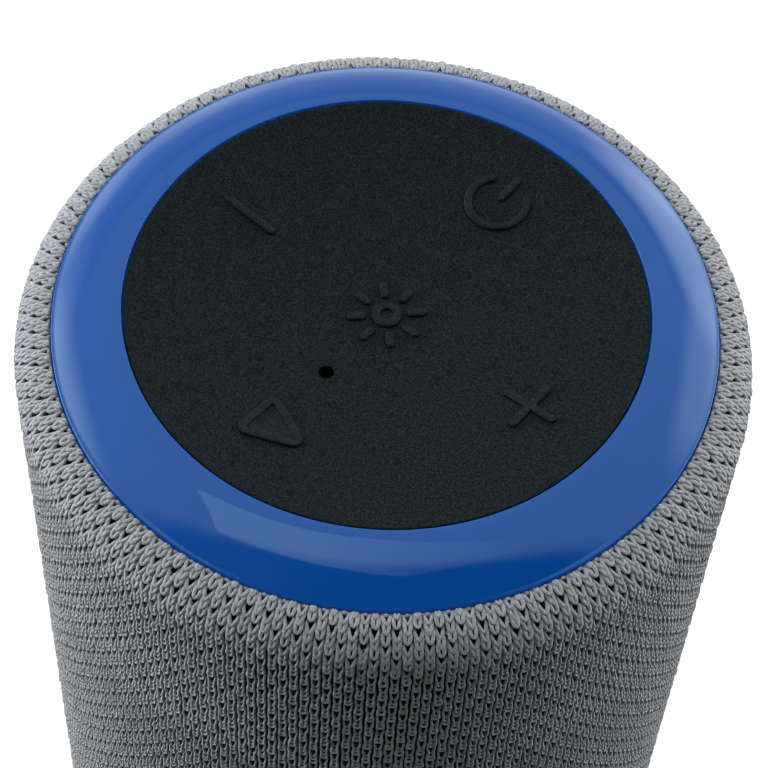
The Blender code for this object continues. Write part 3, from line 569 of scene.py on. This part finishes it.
class SleevePath:
    """The sleeve's section at a depth below its outer surface.

    Its length s runs down from where it leaves the ring, over the roll and the wall.
    """

    def __init__(self, depth):
        self.centre = (BODY_R - ROLL_R, TOP_Z - RING_DROP - ROLL_R)
        self.radius = ROLL_R - depth
        self.lean = math.acos((RING_R + RING_CLEARANCE - self.centre[0]) / self.radius)
        self.roll_length = self.radius * self.lean
        self.length = self.roll_length + (self.centre[1] - SLEEVE_LOW_Z)

    def at(self, s):
        """Radius, height and the outward direction's radius and height parts, for an array s."""
        s = np.asarray(s, float)
        lean = np.clip(self.lean - s / self.radius, 0.0, self.lean)
        over = np.maximum(s - self.roll_length, 0.0)
        under = np.minimum(s, 0.0)
        r = self.centre[0] + self.radius * np.cos(lean)
        z = self.centre[1] + self.radius * np.sin(lean) - over + under
        return r, z, np.cos(lean), np.sin(lean)


# The arm of each of the three stitches in a repeat, from its top to the foot where it meets its twin,
# where the sleeve is stretched over the roll and where it hangs on the wall.
# Each row is (across in mm, down as a share of the repeat, out in mm, half width in mm).
ROLL_ARMS = (
    ((0.36, -0.08, -0.45, 0.19), (0.55, 0.01, -0.32, 0.20), (0.52, 0.12, -0.14, 0.22),
     (0.32, 0.27, 0.0, 0.26), (0.0, 0.39, 0.03, 0.24)),
    ((0.30, 0.22, -0.36, 0.20), (0.40, 0.31, -0.20, 0.25), (0.35, 0.44, -0.03, 0.28),
     (0.25, 0.58, 0.04, 0.27), (0.0, 0.69, 0.05, 0.24)),
    ((0.30, 0.54, -0.36, 0.20), (0.40, 0.63, -0.20, 0.25), (0.36, 0.76, -0.01, 0.28),
     (0.30, 0.90, 0.05, 0.25), (0.0, 0.985, 0.08, 0.22)),
)
WALL_ARMS = (
    ((0.38, -0.08, -0.46, 0.13), (0.47, 0.03, -0.34, 0.13), (0.46, 0.18, -0.18, 0.15),
     (0.38, 0.38, -0.05, 0.17), (0.0, 0.58, -0.12, 0.13)),
    ((0.26, 0.42, -0.36, 0.15), (0.34, 0.50, -0.20, 0.16), (0.34, 0.61, -0.04, 0.16),
     (0.27, 0.72, 0.0, 0.16), (0.0, 0.80, -0.04, 0.13)),
    ((0.24, 0.65, -0.34, 0.15), (0.33, 0.73, -0.16, 0.17), (0.42, 0.84, 0.0, 0.19),
     (0.33, 0.94, 0.03, 0.19), (0.0, 0.985, 0.04, 0.19)),
)


def arm_shapes(table, samples):
    """Both arms of each stitch as smooth curves through their rows: array (3, samples, 4)."""
    shapes = []
    for rows in table:
        rows = np.array(rows) * (1, UNIT, 1, 1)
        mirrored = rows[::-1] * (-1, 1, 1, 1)
        knots = np.concatenate([rows, mirrored[1:]])
        wanted = np.linspace(0, len(knots) - 1, samples)
        lower = np.clip(np.floor(wanted).astype(int), 0, len(knots) - 2)
        t = (wanted - lower)[:, None]
        a, b = knots[np.maximum(lower - 1, 0)], knots[lower]
        c, d = knots[lower + 1], knots[np.minimum(lower + 2, len(knots) - 1)]
        shapes.append(0.5 * (2 * b + (c - a) * t + (2 * a - 5 * b + 4 * c - d) * t ** 2
                             + (3 * b - a - 3 * c + d) * t ** 3))
    return np.array(shapes)


def sweep(path, wale, s, u, h, wide, sides):
    """Open strands from (strand, sample) arrays of length along, across and out, and half width.

    Gives their points, quads, places in a texture, and heights above the path.
    """
    count, samples = s.shape
    s = np.clip(s, -TUCK, path.length - 0.2)
    r, z, nr, nz = path.at(s)
    angle = (wale / WALES * math.tau)[:, None] + u / BODY_R
    r, z = r + h * nr, z + h * nz
    centre = np.stack([r * np.cos(angle), r * np.sin(angle), z], axis=2)
    normal = np.stack([nr * np.cos(angle), nr * np.sin(angle), nz], axis=2)
    along = np.gradient(centre, axis=1)
    along /= np.linalg.norm(along, axis=2, keepdims=True) + 1e-9
    side = np.cross(along, normal)
    side /= np.linalg.norm(side, axis=2, keepdims=True) + 1e-9
    lift = np.cross(side, along)
    turn = np.radians(np.linspace(-115, 115, sides + 1))
    crown = np.cos(turn) - GROOVE * (np.abs(turn) < 0.1)
    sideways = wide[:, :, None, None] * np.sin(turn)[None, None, :, None] * side[:, :, None, :]
    outwards = YARN_DEEP * crown[None, None, :, None] * lift[:, :, None, :]
    points = centre[:, :, None, :] + sideways + outwards
    grid = np.arange(count * samples * (sides + 1)).reshape(count, samples, sides + 1)
    quads = np.stack([grid[:, :-1, :-1], grid[:, 1:, :-1], grid[:, 1:, 1:], grid[:, :-1, 1:]], axis=-1)
    places = np.stack([angle / math.tau % 1.0, (s + TUCK) / (path.length + TUCK)], axis=2)
    places = np.repeat(places[:, :, None, :], sides + 1, axis=2)
    upright = np.sum(lift * normal, axis=2)
    rise = h[:, :, None] + YARN_DEEP * crown[None, None, :] * upright[:, :, None]
    return points.reshape(-1, 3), quads.reshape(-1, 4), places.reshape(-1, 2), rise.ravel()


def hanging(place):
    """How far the sleeve at this length has gone over from the roll's stitches to the wall's, from 0 to 1."""
    return np.clip((place - HANG_START) / HANG_LENGTH, 0.0, 1.0)


def repeats(path, kinds):
    """Flat arrays of column, repeat and kind for the whole sleeve and a little more."""
    rows = int(math.ceil((path.length + TUCK) / UNIT)) + 3
    grids = np.meshgrid(np.arange(WALES), np.arange(-3, rows), np.arange(kinds), indexing="ij")
    return [grid.ravel() for grid in grids]


def stitch_strands(path, first, last, samples, sides, rng):
    wale, unit, kind = repeats(path, COURSES)
    top = (unit + 0.5 * (wale % 2)) * UNIT + PHASE
    begin = top + np.array([arm[0][1] for arm in ROLL_ARMS])[kind] * UNIT
    keep = (begin >= first) & (begin < last)
    wale, kind, top = wale[keep], kind[keep], top[keep]
    wobble = rng.normal(0.0, 1.0, (5, len(top), 1))
    hang = hanging(top)[:, None, None]
    shape = arm_shapes(ROLL_ARMS, samples)[kind] * (1 - hang) + arm_shapes(WALL_ARMS, samples)[kind] * hang
    s = top[:, None] + shape[:, :, 1] + 0.06 * wobble[0]
    u = shape[:, :, 0] * (1.0 + 0.05 * wobble[1]) + 0.035 * wobble[2]
    h = shape[:, :, 2] + 0.04 * wobble[3]
    wide = shape[:, :, 3] * (1.0 + 0.06 * wobble[4])
    return sweep(path, wale, s, u, h, wide, sides)


def crossing_strands(path, first, last, rng):
    """The strands behind the stitches, each from a column to the next."""
    wale, unit, kind = repeats(path, len(FLOATS))
    place = (unit + 0.5 * (wale % 2) + np.array(FLOATS)[kind]) * UNIT + PHASE
    keep = (place >= first) & (place < last)
    wale, place = wale[keep], place[keep]
    wobble = rng.normal(0.0, 1.0, (3, len(place), 1))
    pitch = math.tau * BODY_R / WALES
    across = np.linspace(0.12, pitch - 0.12, 4)[None, :]
    bend = np.array([0.0, 1.0, 1.0, 0.0])[None, :]
    s = place[:, None] + 0.10 * wobble[0] + 0.12 * bend * wobble[1]
    u = np.broadcast_to(across, s.shape)
    hang = hanging(place)[:, None]
    h = -ROLL_FLOAT - (WALL_FLOAT - ROLL_FLOAT) * hang - 0.12 * (1 - bend) + 0.05 * wobble[2]
    return sweep(path, wale, s, u, h, np.full(s.shape, 0.14), 2)


def build_knit(name, path, first, last, samples, sides, seed):
    """Strands that begin between first and last along the path, as one mesh."""
    rng = np.random.default_rng(seed)
    stitches = stitch_strands(path, first, last, samples, sides, rng)
    crossings = crossing_strands(path, first, last, rng)
    points, quads, places, rises = zip(stitches, crossings)
    quads = np.concatenate([quads[0], quads[1] + len(points[0])])
    knit = quad_object(name, np.concatenate(points), quads, np.concatenate(places))
    # These heights drive the yarn's painted shade.
    rise = knit.data.attributes.new("rise", "FLOAT", "POINT")
    rise.data.foreach_set("value", np.concatenate(rises).astype(np.float32))
    return knit


def quad_object(name, points, quads, places):
    """Object from arrays of points in millimetres, four-sided faces and each point's place in a texture."""
    mesh = bpy.data.meshes.new(name)
    mesh.vertices.add(len(points))
    mesh.vertices.foreach_set("co", (points * MM).astype(np.float32).ravel())
    mesh.loops.add(len(quads) * 4)
    mesh.loops.foreach_set("vertex_index", quads.astype(np.int32).ravel())
    mesh.polygons.add(len(quads))
    mesh.polygons.foreach_set("loop_start", np.arange(0, len(quads) * 4, 4, dtype=np.int32))
    mesh.update(calc_edges=True)
    layer = mesh.uv_layers.new(name="OFBake")
    layer.data.foreach_set("uv", places[quads.ravel()].astype(np.float32).ravel())
    mesh.shade_smooth()
    return link(bpy.data.objects.new(name, mesh))


def build_sleeve():
    path = SleevePath(YARN_BASE)
    look = LOOKS["knit_fabric"]
    knit = build_knit("knit_upper", path, -TUCK - UNIT, FINE_LENGTH, 13, 4, UPPER_SEED)
    finish_piece(knit, look, "housing", "knit_fabric", "fabric_sleeve")
    lower = build_knit("knit_lower", path, FINE_LENGTH, path.length, 7, 3, LOWER_SEED)
    finish_piece(lower, look, "housing", "knit_fabric")
    back = SleevePath(LINING_DEPTH)
    over_roll = np.linspace(-LINING_TUCK, back.roll_length, 14)
    down_wall = np.linspace(back.roll_length, back.length, 30)[1:]
    r, z, _, _ = back.at(np.concatenate([over_roll, down_wall]))
    lining = turned("scrim_lining", list(zip(r, z)), 160, closed=False)
    finish_piece(lining, woven("black_scrim", BLACK_CLOTH), "housing", "knit_fabric")


# ---------------------------------------------------------------- light ring

def ring_height(r):
    share = (r - PAD_HOLE_R) / (RING_R - PAD_HOLE_R)
    return TOP_Z - RING_DROP * np.clip(share, 0, 1) ** 1.7


def build_light_ring():
    lip, edge = 0.12, 0.2
    radii = np.linspace(PAD_HOLE_R + lip, RING_R - edge, 24)
    crown = [(r, float(ring_height(r))) for r in radii]
    inner_top = crown[0][1]
    inner = arc((PAD_HOLE_R + lip, inner_top - lip), lip, 180, 95, 5)
    outer_z = crown[-1][1]
    outer = arc((RING_R - edge, outer_z - edge), edge, 60, 0, 5)
    skin = [(RING_R, RING_LOW_Z), (RING_R - 1.5, RING_LOW_Z), (RING_R - 1.5, outer_z - 2.0),
            (PAD_HOLE_R + 1.6, inner_top - 2.2), (PAD_HOLE_R + 1.6, RING_LOW_Z), (PAD_HOLE_R, RING_LOW_Z)]
    ring = turned("light_ring", inner + crown + outer + skin, 256)
    finish_piece(ring, LOOKS["blue_diffuser"], "housing", "blue_diffuser", "light_ring_diffuser")


# ---------------------------------------------------------------- pad and keys

STROKE = 1.1
POWER_ARC_R = 3.85
POWER_GAP = 47.6
BAR_HALF = 3.35
PLAY_CORE = ((-1.4, -2.3), (3.8, 0.0), (-1.4, 2.3))
PLAY_CORNER_R = 1.25
SLIT = 0.05              # clearance round a symbol where it comes through the pad
PAD_SKIN_R = PAD_HOLE_R - 0.18
PAD_LIFT = 0.2
CORNER = 7               # steps round an end of a stroke


def polar(radius, degrees):
    return radius * math.cos(math.radians(degrees)), radius * math.sin(math.radians(degrees))


def pad_height(x, y):
    share = np.hypot(x, y) / PAD_R
    return PAD_EDGE_Z - DISH * (1.0 - np.minimum(share, 1.0) ** DISH_POWER)


def skin_height(r):
    """The pad's top, which lifts a little more at the rim to close up to the light ring."""
    return float(pad_height(r, 0)) + PAD_LIFT * max(0.0, (r - PAD_R + 2.0) / 2.0) ** 2


def hull(centres, radius, steps=CORNER):
    """Outline round equal circles whose centres are a convex polygon, anticlockwise."""
    if len(centres) == 1:
        return arc(centres[0], radius, 0, 360, 32)[:-1]
    outline = []
    for i, (x, y) in enumerate(centres):
        before, after = centres[i - 1], centres[(i + 1) % len(centres)]
        start = math.degrees(math.atan2(y - before[1], x - before[0])) - 90
        end = math.degrees(math.atan2(after[1] - y, after[0] - x)) - 90
        while end < start:
            end += 360
        outline += arc((x, y), radius, start, end, steps)
    return outline


def power_arc(grow):
    half = STROKE / 2 + grow
    start, end = 90 + POWER_GAP, 450 - POWER_GAP
    outline = arc((0, 0), POWER_ARC_R + half, start, end, 44)
    outline += arc(polar(POWER_ARC_R, end), half, end, end + 180, CORNER)[1:-1]
    outline += arc((0, 0), POWER_ARC_R - half, end, start, 44)
    outline += arc(polar(POWER_ARC_R, start), half, start + 180, start + 360, CORNER)[1:-1]
    return outline


def cross(grow):
    half = STROKE / 2 + grow
    outline = []
    for turn in (0, 90, 180, 270):
        outline += arc(polar(BAR_HALF, turn), half, turn - 90, turn + 90, CORNER)
        outline.append(polar(half * math.sqrt(2), turn + 45))
    return outline


def sun_ray(turn):
    return lambda grow: hull([polar(3.2, turn), polar(4.6, turn)], 0.55 + grow)


def power_line(grow):
    return hull([(0, 0.9), (0, 4.2)], STROKE / 2 + grow)


def bar(grow):
    return hull([(-BAR_HALF, 0), (BAR_HALF, 0)], STROKE / 2 + grow)


def triangle(grow):
    return hull(PLAY_CORE, PLAY_CORNER_R + grow)


def triangle_floor(grow):
    return hull(PLAY_CORE, PLAY_CORNER_R - STROKE - grow)


def sun_disc(grow):
    return hull([(0, 0)], 1.95 + grow)


def sun_floor(grow):
    return hull([(0, 0)], 0.85 - grow)


# Each key's centre and the outlines of its symbol; a sunken floor is in the last outline.
STROKES = {
    "power": ((0.0, KEY_RING_R), [power_arc, power_line]),
    "volume_down": ((-KEY_RING_R, 0.0), [bar]),
    "volume_up": ((KEY_RING_R, 0.0), [cross]),
    "play": ((0.0, -KEY_RING_R), [triangle]),
    "light": ((0.0, 0.0), [sun_ray(45 * k) for k in range(8)] + [sun_disc]),
}
FLOORS = {"play": triangle_floor, "light": sun_floor}


def skin(bm, loops, centre=(0, 0)):
    """Join equal outlines, each a list of (x, y, z), by four-sided faces, and give their vertices."""
    rings = [[bm.verts.new(((x + centre[0]) * MM, (y + centre[1]) * MM, z * MM)) for x, y, z in loop]
             for loop in loops]
    for lower, upper in zip(rings, rings[1:]):
        count = len(lower)
        for i in range(count):
            k = (i + 1) % count
            bm.faces.new((lower[i], lower[k], upper[k], upper[i]))
    return rings


def capped(bm, loops, centre):
    """Skin outlines and close the last one, which may be hollow-sided."""
    cap = bm.faces.new(skin(bm, loops, centre)[-1])
    cap.normal_update()
    bmesh.ops.triangulate(bm, faces=[cap])


def prism(bm, loops, centre=(0, 0)):
    """Skin outlines and close both ends."""
    rings = skin(bm, loops, centre)
    bm.faces.new(rings[0])
    bm.faces.new(rings[-1])


def to_object(bm, name):
    bmesh.ops.recalc_face_normals(bm, faces=bm.faces)
    mesh = bpy.data.meshes.new(name)
    bm.to_mesh(mesh)
    bm.free()
    return link(bpy.data.objects.new(name, mesh))


def raised(outline, grow, above, centre):
    """An outline grown by `grow`, at a height above the dished pad."""
    return [(x, y, float(pad_height(x + centre[0], y + centre[1])) + above) for x, y in outline(grow)]


def lathe(bm, centre, profile, segments=32):
    """Turn (radius, height) points about a vertical axis through centre, from axis to axis."""
    rings = []
    for radius, height in profile:
        if radius:
            angles = [math.tau * i / segments for i in range(segments)]
            places = [(centre[0] + radius * math.cos(a), centre[1] + radius * math.sin(a)) for a in angles]
        else:
            places = [centre]
        rings.append([bm.verts.new((x * MM, y * MM, height * MM)) for x, y in places])
    for first, second in zip(rings, rings[1:]):
        for i in range(segments):
            k = (i + 1) % segments
            corners = [first[i % len(first)], first[k % len(first)]]
            corners += [second[k % len(second)], second[i % len(second)]]
            bm.faces.new(list(dict.fromkeys(corners)))


def build_key(name):
    """A flange on a stem under the pad, with the symbol standing up through it."""
    centre, strokes = STROKES[name]
    bm = bmesh.new()
    lathe(bm, centre, [(0, FLANGE_Z), (FLANGE_R - 0.25, FLANGE_Z), (FLANGE_R, FLANGE_Z - 0.2),
                       (FLANGE_R, FLANGE_Z - 0.8), (STEM_R + 0.3, FLANGE_Z - 0.8), (STEM_R, FLANGE_Z - 1.1),
                       (STEM_R, STEM_LOW_Z + 0.25), (STEM_R - 0.25, STEM_LOW_Z), (0, STEM_LOW_Z)])
    edge = 0.3
    steps = 6
    for stroke in strokes:
        loops = [[(x, y, FLANGE_Z - 0.3) for x, y in stroke(0.0)], raised(stroke, 0.0, -0.3, centre)]
        for k in range(steps + 1):
            lean = math.pi / 2 * k / steps
            above = RELIEF - edge * (1 - math.sin(lean))
            loops.append(raised(stroke, edge * (math.cos(lean) - 1), above, centre))
        if name in FLOORS and stroke is strokes[-1]:
            floor = FLOORS[name]
            for k in range(steps + 1):
                lean = math.pi / 2 * (1 - k / steps)
                above = RELIEF - edge * (1 - math.sin(lean))
                loops.append(raised(floor, edge * 0.6 * (math.cos(lean) - 1), above, centre))
            loops.append(raised(floor, 0.0, 0.12, centre))
            loops.append(raised(floor, 0.12, 0.0, centre))
        capped(bm, loops, centre)
    key = to_object(bm, f"{name}_keytop")
    shade(key.data, 50)
    finish_piece(key, LOOKS["key_rubber"], f"{name}_button", "pad_rubber", f"{name}_key")


def upright(outline):
    """An outline at two heights, under the pad and over it."""
    return [[(x, y, z) for x, y in outline] for z in (PAD_LOW_Z - 1, TOP_Z + 1)]


def build_pad():
    lip = 0.15
    radii = np.linspace(0, PAD_SKIN_R - lip, 34)
    top = [(r, skin_height(r)) for r in radii]
    rim = arc((PAD_SKIN_R - lip, top[-1][1] - lip), lip, 84, 0, 5)
    profile = top + rim + [(PAD_SKIN_R, PAD_LOW_Z), (0, PAD_LOW_Z)]
    pad = turned("pad_skin", profile, 160)
    bm = bmesh.new()
    for centre, strokes in STROKES.values():
        for stroke in strokes:
            prism(bm, upright(stroke(SLIT)), centre)
    prism(bm, upright(hull([(0, 0)], MIC_HOLE_R)), (0, MIC_Y))
    carve(pad, to_object(bm, "pad_cutter"))
    finish_piece(pad, LOOKS["pad_rubber"], "housing", "pad_rubber", "button_pad")


def carve(obj, cutter):
    """Cut one object by another, apply it and remove the cutter."""
    modifier = obj.modifiers.new("carve", "BOOLEAN")
    modifier.operation = "DIFFERENCE"
    modifier.solver = "EXACT"
    modifier.object = cutter
    evaluated = obj.evaluated_get(bpy.context.evaluated_depsgraph_get())
    mesh = bpy.data.meshes.new_from_object(evaluated)
    obj.modifiers.clear()
    obj.data = mesh
    shade(mesh)
    bpy.data.objects.remove(cutter, do_unlink=True)


# ---------------------------------------------------------------- base

PORT_Z = 10.1
PORT_HALF = 3.2
PORT_R = 1.9
PORT_FLARE = 1.05        # how much wider the opening gets across the band's outer face
BAND_BORE_R = 43.4
BAND_FLOOR_Z = 6.3
FOOT_INNER_R = 30.0
FOOT_GAP = 0.3
FOOT_GROOVE_Z = 2.3


def build_band():
    corner, shoulder = 3.0, 0.6
    profile = arc((BAND_R - shoulder, BAND_TOP_Z - shoulder), shoulder, 90, 0, 6)
    profile += arc((BAND_R - corner, BAND_LOW_Z + corner), corner, 0, -90, 10)
    profile += [(FOOT_R + FOOT_GAP, BAND_LOW_Z), (FOOT_R + FOOT_GAP, FOOT_GROOVE_Z),
                (FOOT_INNER_R - FOOT_GAP, FOOT_GROOVE_Z), (FOOT_INNER_R - FOOT_GAP, BAND_LOW_Z),
                (0, BAND_LOW_Z), (0, BAND_FLOOR_Z), (BAND_BORE_R, BAND_FLOOR_Z), (BAND_BORE_R, BAND_TOP_Z)]
    band = turned("base_band", profile, 192)
    bm = bmesh.new()
    ends = [(-PORT_HALF, 0), (PORT_HALF, 0)]
    loops = [[(x, y, PORT_Z + z) for x, z in hull(ends, PORT_R + grow)]
             for y, grow in ((41.0, 0.0), (BAND_R - 0.45, 0.0), (BAND_R + 0.6, PORT_FLARE))]
    prism(bm, loops)
    carve(band, to_object(bm, "port_cutter"))
    finish_piece(band, LOOKS["black_plastic"], "housing", "black_plastic", "base_housing")


def build_foot():
    low, high = span("rubber_foot")
    edge = 0.5
    profile = arc((FOOT_R - edge, high.z - 0.1), 0.1, 90, 0, 2)
    profile += arc((FOOT_R - edge, low.z + edge), edge, 0, -90, 5)
    profile += arc((FOOT_INNER_R + edge, low.z + edge), edge, -90, -180, 5) + [(FOOT_INNER_R, high.z)]
    foot = turned("foot_ring", profile, 160)
    finish_piece(foot, LOOKS["soft_rubber"], "housing", "soft_rubber", "rubber_foot")


# ---------------------------------------------------------------- driver suspensions

ROLL_LAND = 1.2          # width of a surround's flat land
ROLL_T = 0.5
SPIDER_R = (12.6, 22.4)
SPIDER_Z = (56.15, 54.6)
SPIDER_WAVES = 4
SPIDER_WAVE = 0.4
SPIDER_T = 0.35


def half_roll(inner, outer, seat, way):
    """Section of a rubber surround: two lands joined by a half roll, up if way is 1 and down if -1."""
    middle, radius = (inner + outer) / 2, (outer - inner) / 2
    outline = [(inner - ROLL_LAND, ROLL_T)] + arc((middle, ROLL_T), radius, 180, 0, 24)
    outline += [(outer + ROLL_LAND, ROLL_T), (outer + ROLL_LAND, 0.0), (outer - ROLL_T, 0.0)]
    outline += arc((middle, ROLL_T), radius - ROLL_T, 0, 180, 24)
    outline += [(inner + ROLL_T, 0.0), (inner - ROLL_LAND, 0.0)]
    return [(r, seat + way * h) for r, h in outline]


def spider_section():
    """Corrugated cloth from the cone's neck down and out to the basket."""
    share = np.linspace(0.0, 1.0, 65)
    r = SPIDER_R[0] + (SPIDER_R[1] - SPIDER_R[0]) * share
    fade = np.clip(6 * np.minimum(share, 1 - share), 0, 1)
    wave = SPIDER_WAVE * np.sin(share * math.tau * SPIDER_WAVES) * fade
    z = SPIDER_Z[0] + (SPIDER_Z[1] - SPIDER_Z[0]) * share + wave
    return list(zip(r, z + SPIDER_T / 2)) + list(zip(r[::-1], z[::-1] - SPIDER_T / 2))


def suspend(ring, look, moving, inner, outer, slot, node):
    """Let a ring's inner edge follow the moving body while its outer edge stays with the housing."""
    wear(ring, look)
    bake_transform(ring, moving, "housing", (inner * MM, 0, 0), (outer * MM, 0, 0))
    points = np.array([v.co for v in ring.data.vertices]) / MM
    share = np.clip((np.hypot(points[:, 0], points[:, 1]) - inner) / (outer - inner), 0.0, 1.0)
    weights = ring.data.attributes["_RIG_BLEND"].data
    weights.foreach_set("value", (share * share * (3.0 - 2.0 * share)).astype(np.float32))
    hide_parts(node)


def build_suspensions():
    for node, cone, way, gap in (("woofer_surround", "woofer_cone", -1, 0.0),
                                 ("passive_radiator_surround", "passive_radiator_cone", 1, 0.3)):
        low, high = span(node)
        inner, outer = span(cone)[1].x + gap, high.x - ROLL_LAND
        ring = turned(f"{node}_roll", half_roll(inner, outer, high.z if way < 0 else low.z, way), 128)
        moving = cone.replace("_cone", "_moving_assembly")
        suspend(ring, LOOKS["soft_rubber"], moving, inner, outer, "soft_rubber", node)
    spider = turned("woofer_spider_cloth", spider_section(), 128)
    cloth = woven("spider_cloth", (0.42, 0.3, 0.13))
    suspend(spider, cloth, "woofer_moving_assembly", *SPIDER_R, "cone_paper", "woofer_spider")


# ---------------------------------------------------------------- build

build_camera()
build_stage()
dress_cad_nodes()
build_sleeve()
build_light_ring()
build_pad()
for key_name in STROKES:
    build_key(key_name)
build_band()
build_foot()
build_suspensions()
